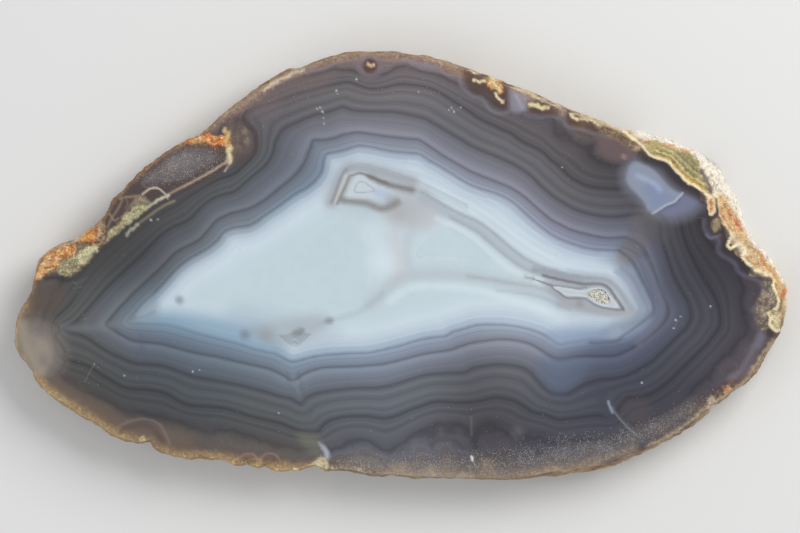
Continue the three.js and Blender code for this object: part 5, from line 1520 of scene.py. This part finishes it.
# %% Wear of the rind
LUMPS = ((4.5, 0.22), (1.6, 0.16), (0.8, 0.13), (0.4, 0.08))
PIT_SPACING = 1.1
PIT_WIDTH = 0.35
PIT_DEPTH = 0.3
HOLLOW_REACH = 4
kept = {vertex for height in (0, THICKNESS) for face in flat_faces(form, height) for vertex in face.verts}
hollow_low, hollow_high = (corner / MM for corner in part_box("quartz_crust"))
hollow_middle = (hollow_low + hollow_high) / 2
form.normal_update()
moved = []
for vertex in form.verts:
    if vertex in kept or (vertex.co / MM - hollow_middle).length < HOLLOW_REACH:
        continue
    spot_at = vertex.co / MM
    push = sum(depth * noise.noise(spot_at / size) for size, depth in LUMPS)
    cell = noise.voronoi(spot_at / PIT_SPACING)[0][0]
    push -= PIT_DEPTH * max(0, PIT_WIDTH - cell) / PIT_WIDTH
    moved.append((vertex, vertex.normal * push * MM))
low_corner, high_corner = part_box("agate_slice")
for vertex, shift in moved:
    vertex.co = [min(max(value, low), high)
                 for value, low, high in zip(vertex.co + shift, low_corner, high_corner)]
print("points of the rind that were worn:", len(moved))

# %% [markdown]
# Quartz. The last of the fluid left tiny crystals in the small hollow. They are milky, with clearer
# places, so their finish lets a little of the light through. The bed that they stand on is the same
# quartz, rougher, and painted darker between its grains, as shade.

# %% Quartz finishes
MILKY_TONES = [(0.3, (204, 194, 172)), (0.45, (232, 229, 218)), (0.6, (250, 250, 246))]
BED_TONES_WITH_GAP_SHADE = [(0.1, (228, 224, 212)), (0.5, (210, 204, 190)), (0.85, (172, 164, 148))]
MILK_SCALE = 1600
BED_SCALE = 3200
BED_RELIEF = 0.0002
quartz, shader = plain_material("quartz crystals", (226, 224, 214), 0.14)
shader.inputs["IOR"].default_value = 1.55
shader.inputs["Transmission Weight"].default_value = 0.15
tree = quartz.node_tree
place = object_place(tree)
tree.links.new(ramp(tree, noise_at(tree, place, MILK_SCALE, 3), MILKY_TONES), shader.inputs["Base Color"])

bed_finish, shader = plain_material("quartz bed", (150, 144, 132), 0.5)
tree = bed_finish.node_tree
place = object_place(tree)
crumbs, _ = cells_at(tree, place, BED_SCALE)
# Painted shade between the bed's grains.
tree.links.new(ramp(tree, crumbs, BED_TONES_WITH_GAP_SHADE), shader.inputs["Base Color"])
bump(tree, shader, calculate(tree, "SUBTRACT", 1, crumbs), BED_RELIEF)
print("tones of the crystals:", len(MILKY_TONES), "of their bed:", len(BED_TONES_WITH_GAP_SHADE))

# %% [markdown]
# Now the mesh becomes the stone. Each face takes one of the four finishes: the two flat sides are
# found by their height, the bed by its nearness to the hollow, and the rest is rind. The edge where
# two finishes meet is kept sharp. The numbers of the bands, marks and frost go on as attributes.

# %% The stone's faces and their finishes
back_faces = set(flat_faces(form, 0))
top_faces = set(flat_faces(form, THICKNESS))
bed_faces = []
for face in form.faces:
    face.material_index = SAWN if face in back_faces else POLISHED if face in top_faces else RIND
    middle = face.calc_center_median()
    if face.material_index == RIND and (middle / MM - hollow_middle).length < HOLLOW_REACH:
        face.material_index = BED
        bed_faces.append((middle, face.normal.copy(), face.calc_area()))
    face.smooth = True
for edge in form.edges:
    if len({face.material_index for face in edge.link_faces}) > 1:
        edge.smooth = False
bmesh.ops.triangulate(form, faces=[face for face in form.faces if len(face.verts) > 4])
stone = mesh_object("agate_stone", form, [polished, sawn, rind_finish, bed_finish])
shade_layer = np.hstack([shade, np.ones((len(shade), 1))])
for name, values in (("growth", growth), ("grain", grain), ("frost", frost),
                     ("shade", shade_layer), ("marks", layer)):
    kind, field = ("FLOAT", "value") if values.ndim == 1 else ("FLOAT_COLOR", "color")
    carried = stone.data.attributes.new(name, kind, "POINT")
    carried.data.foreach_set(field, values.astype(np.float32).ravel())
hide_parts("agate_slice")
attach(stone, "root")
print("triangles in the stone:", sum(len(p.vertices) - 2 for p in stone.data.polygons))

# %% [markdown]
# The crystals of the hollow. Each is a six-sided column with a six-sided point: a cone with two ends,
# its far end poked out to a tip. They stand on the bed at random, leaning a little its way, and stay
# below the polished face.

# %% The quartz crystals
CRYSTALS = 560
CRYSTAL_RADIUS = (0.1, 0.24)
DEPTH_OF_TIPS = (0.04, 0.42)
CRYSTAL_TIP = 0.9
TAPER = 0.85
FACING_SHARE = 0.35
LEAN_SHARE = 0.28
FOOT_SPREAD = 0.1
FOOT_SUNK = 0.1
SHORTEST = 0.15
chance = random.Random(7)
form = bmesh.new()
weights = [area for _, _, area in bed_faces]
for _ in range(CRYSTALS):
    foot, facing, _ = chance.choices(bed_faces, weights)[0]
    lean = Vector([chance.uniform(-1, 1) for _ in range(3)])
    pointing = (FACING_SHARE * facing + LEAN_SHARE * lean + Vector((0, 0, 1))).normalized()
    radius = chance.uniform(*CRYSTAL_RADIUS) * MM
    tip = (THICKNESS - chance.uniform(*DEPTH_OF_TIPS)) * MM
    root = foot + lean * FOOT_SPREAD * MM - pointing * FOOT_SUNK * MM
    length = (tip - root.z) / pointing.z - radius * CRYSTAL_TIP
    if length < SHORTEST * MM:
        continue
    turn = pointing.to_track_quat("Z", "X").to_matrix().to_4x4()
    spin = Matrix.Rotation(chance.uniform(0, math.pi), 4, "Z")
    made = bmesh.ops.create_cone(form, cap_ends=True, segments=6, radius1=radius, radius2=radius * TAPER,
                                 depth=length,
                                 matrix=Matrix.Translation(root + pointing * length / 2) @ turn @ spin)
    faces = {face for vertex in made["verts"] for face in vertex.link_faces}
    top = max(faces, key=lambda face: face.calc_center_median().dot(pointing))
    bmesh.ops.poke(form, faces=[top], offset=radius * CRYSTAL_TIP)
crystals = mesh_object("quartz_crystals", form, [quartz])
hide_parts("quartz_crust")
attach(crystals, "root")
print("crystals tried:", CRYSTALS, "faces:", len(crystals.data.polygons))
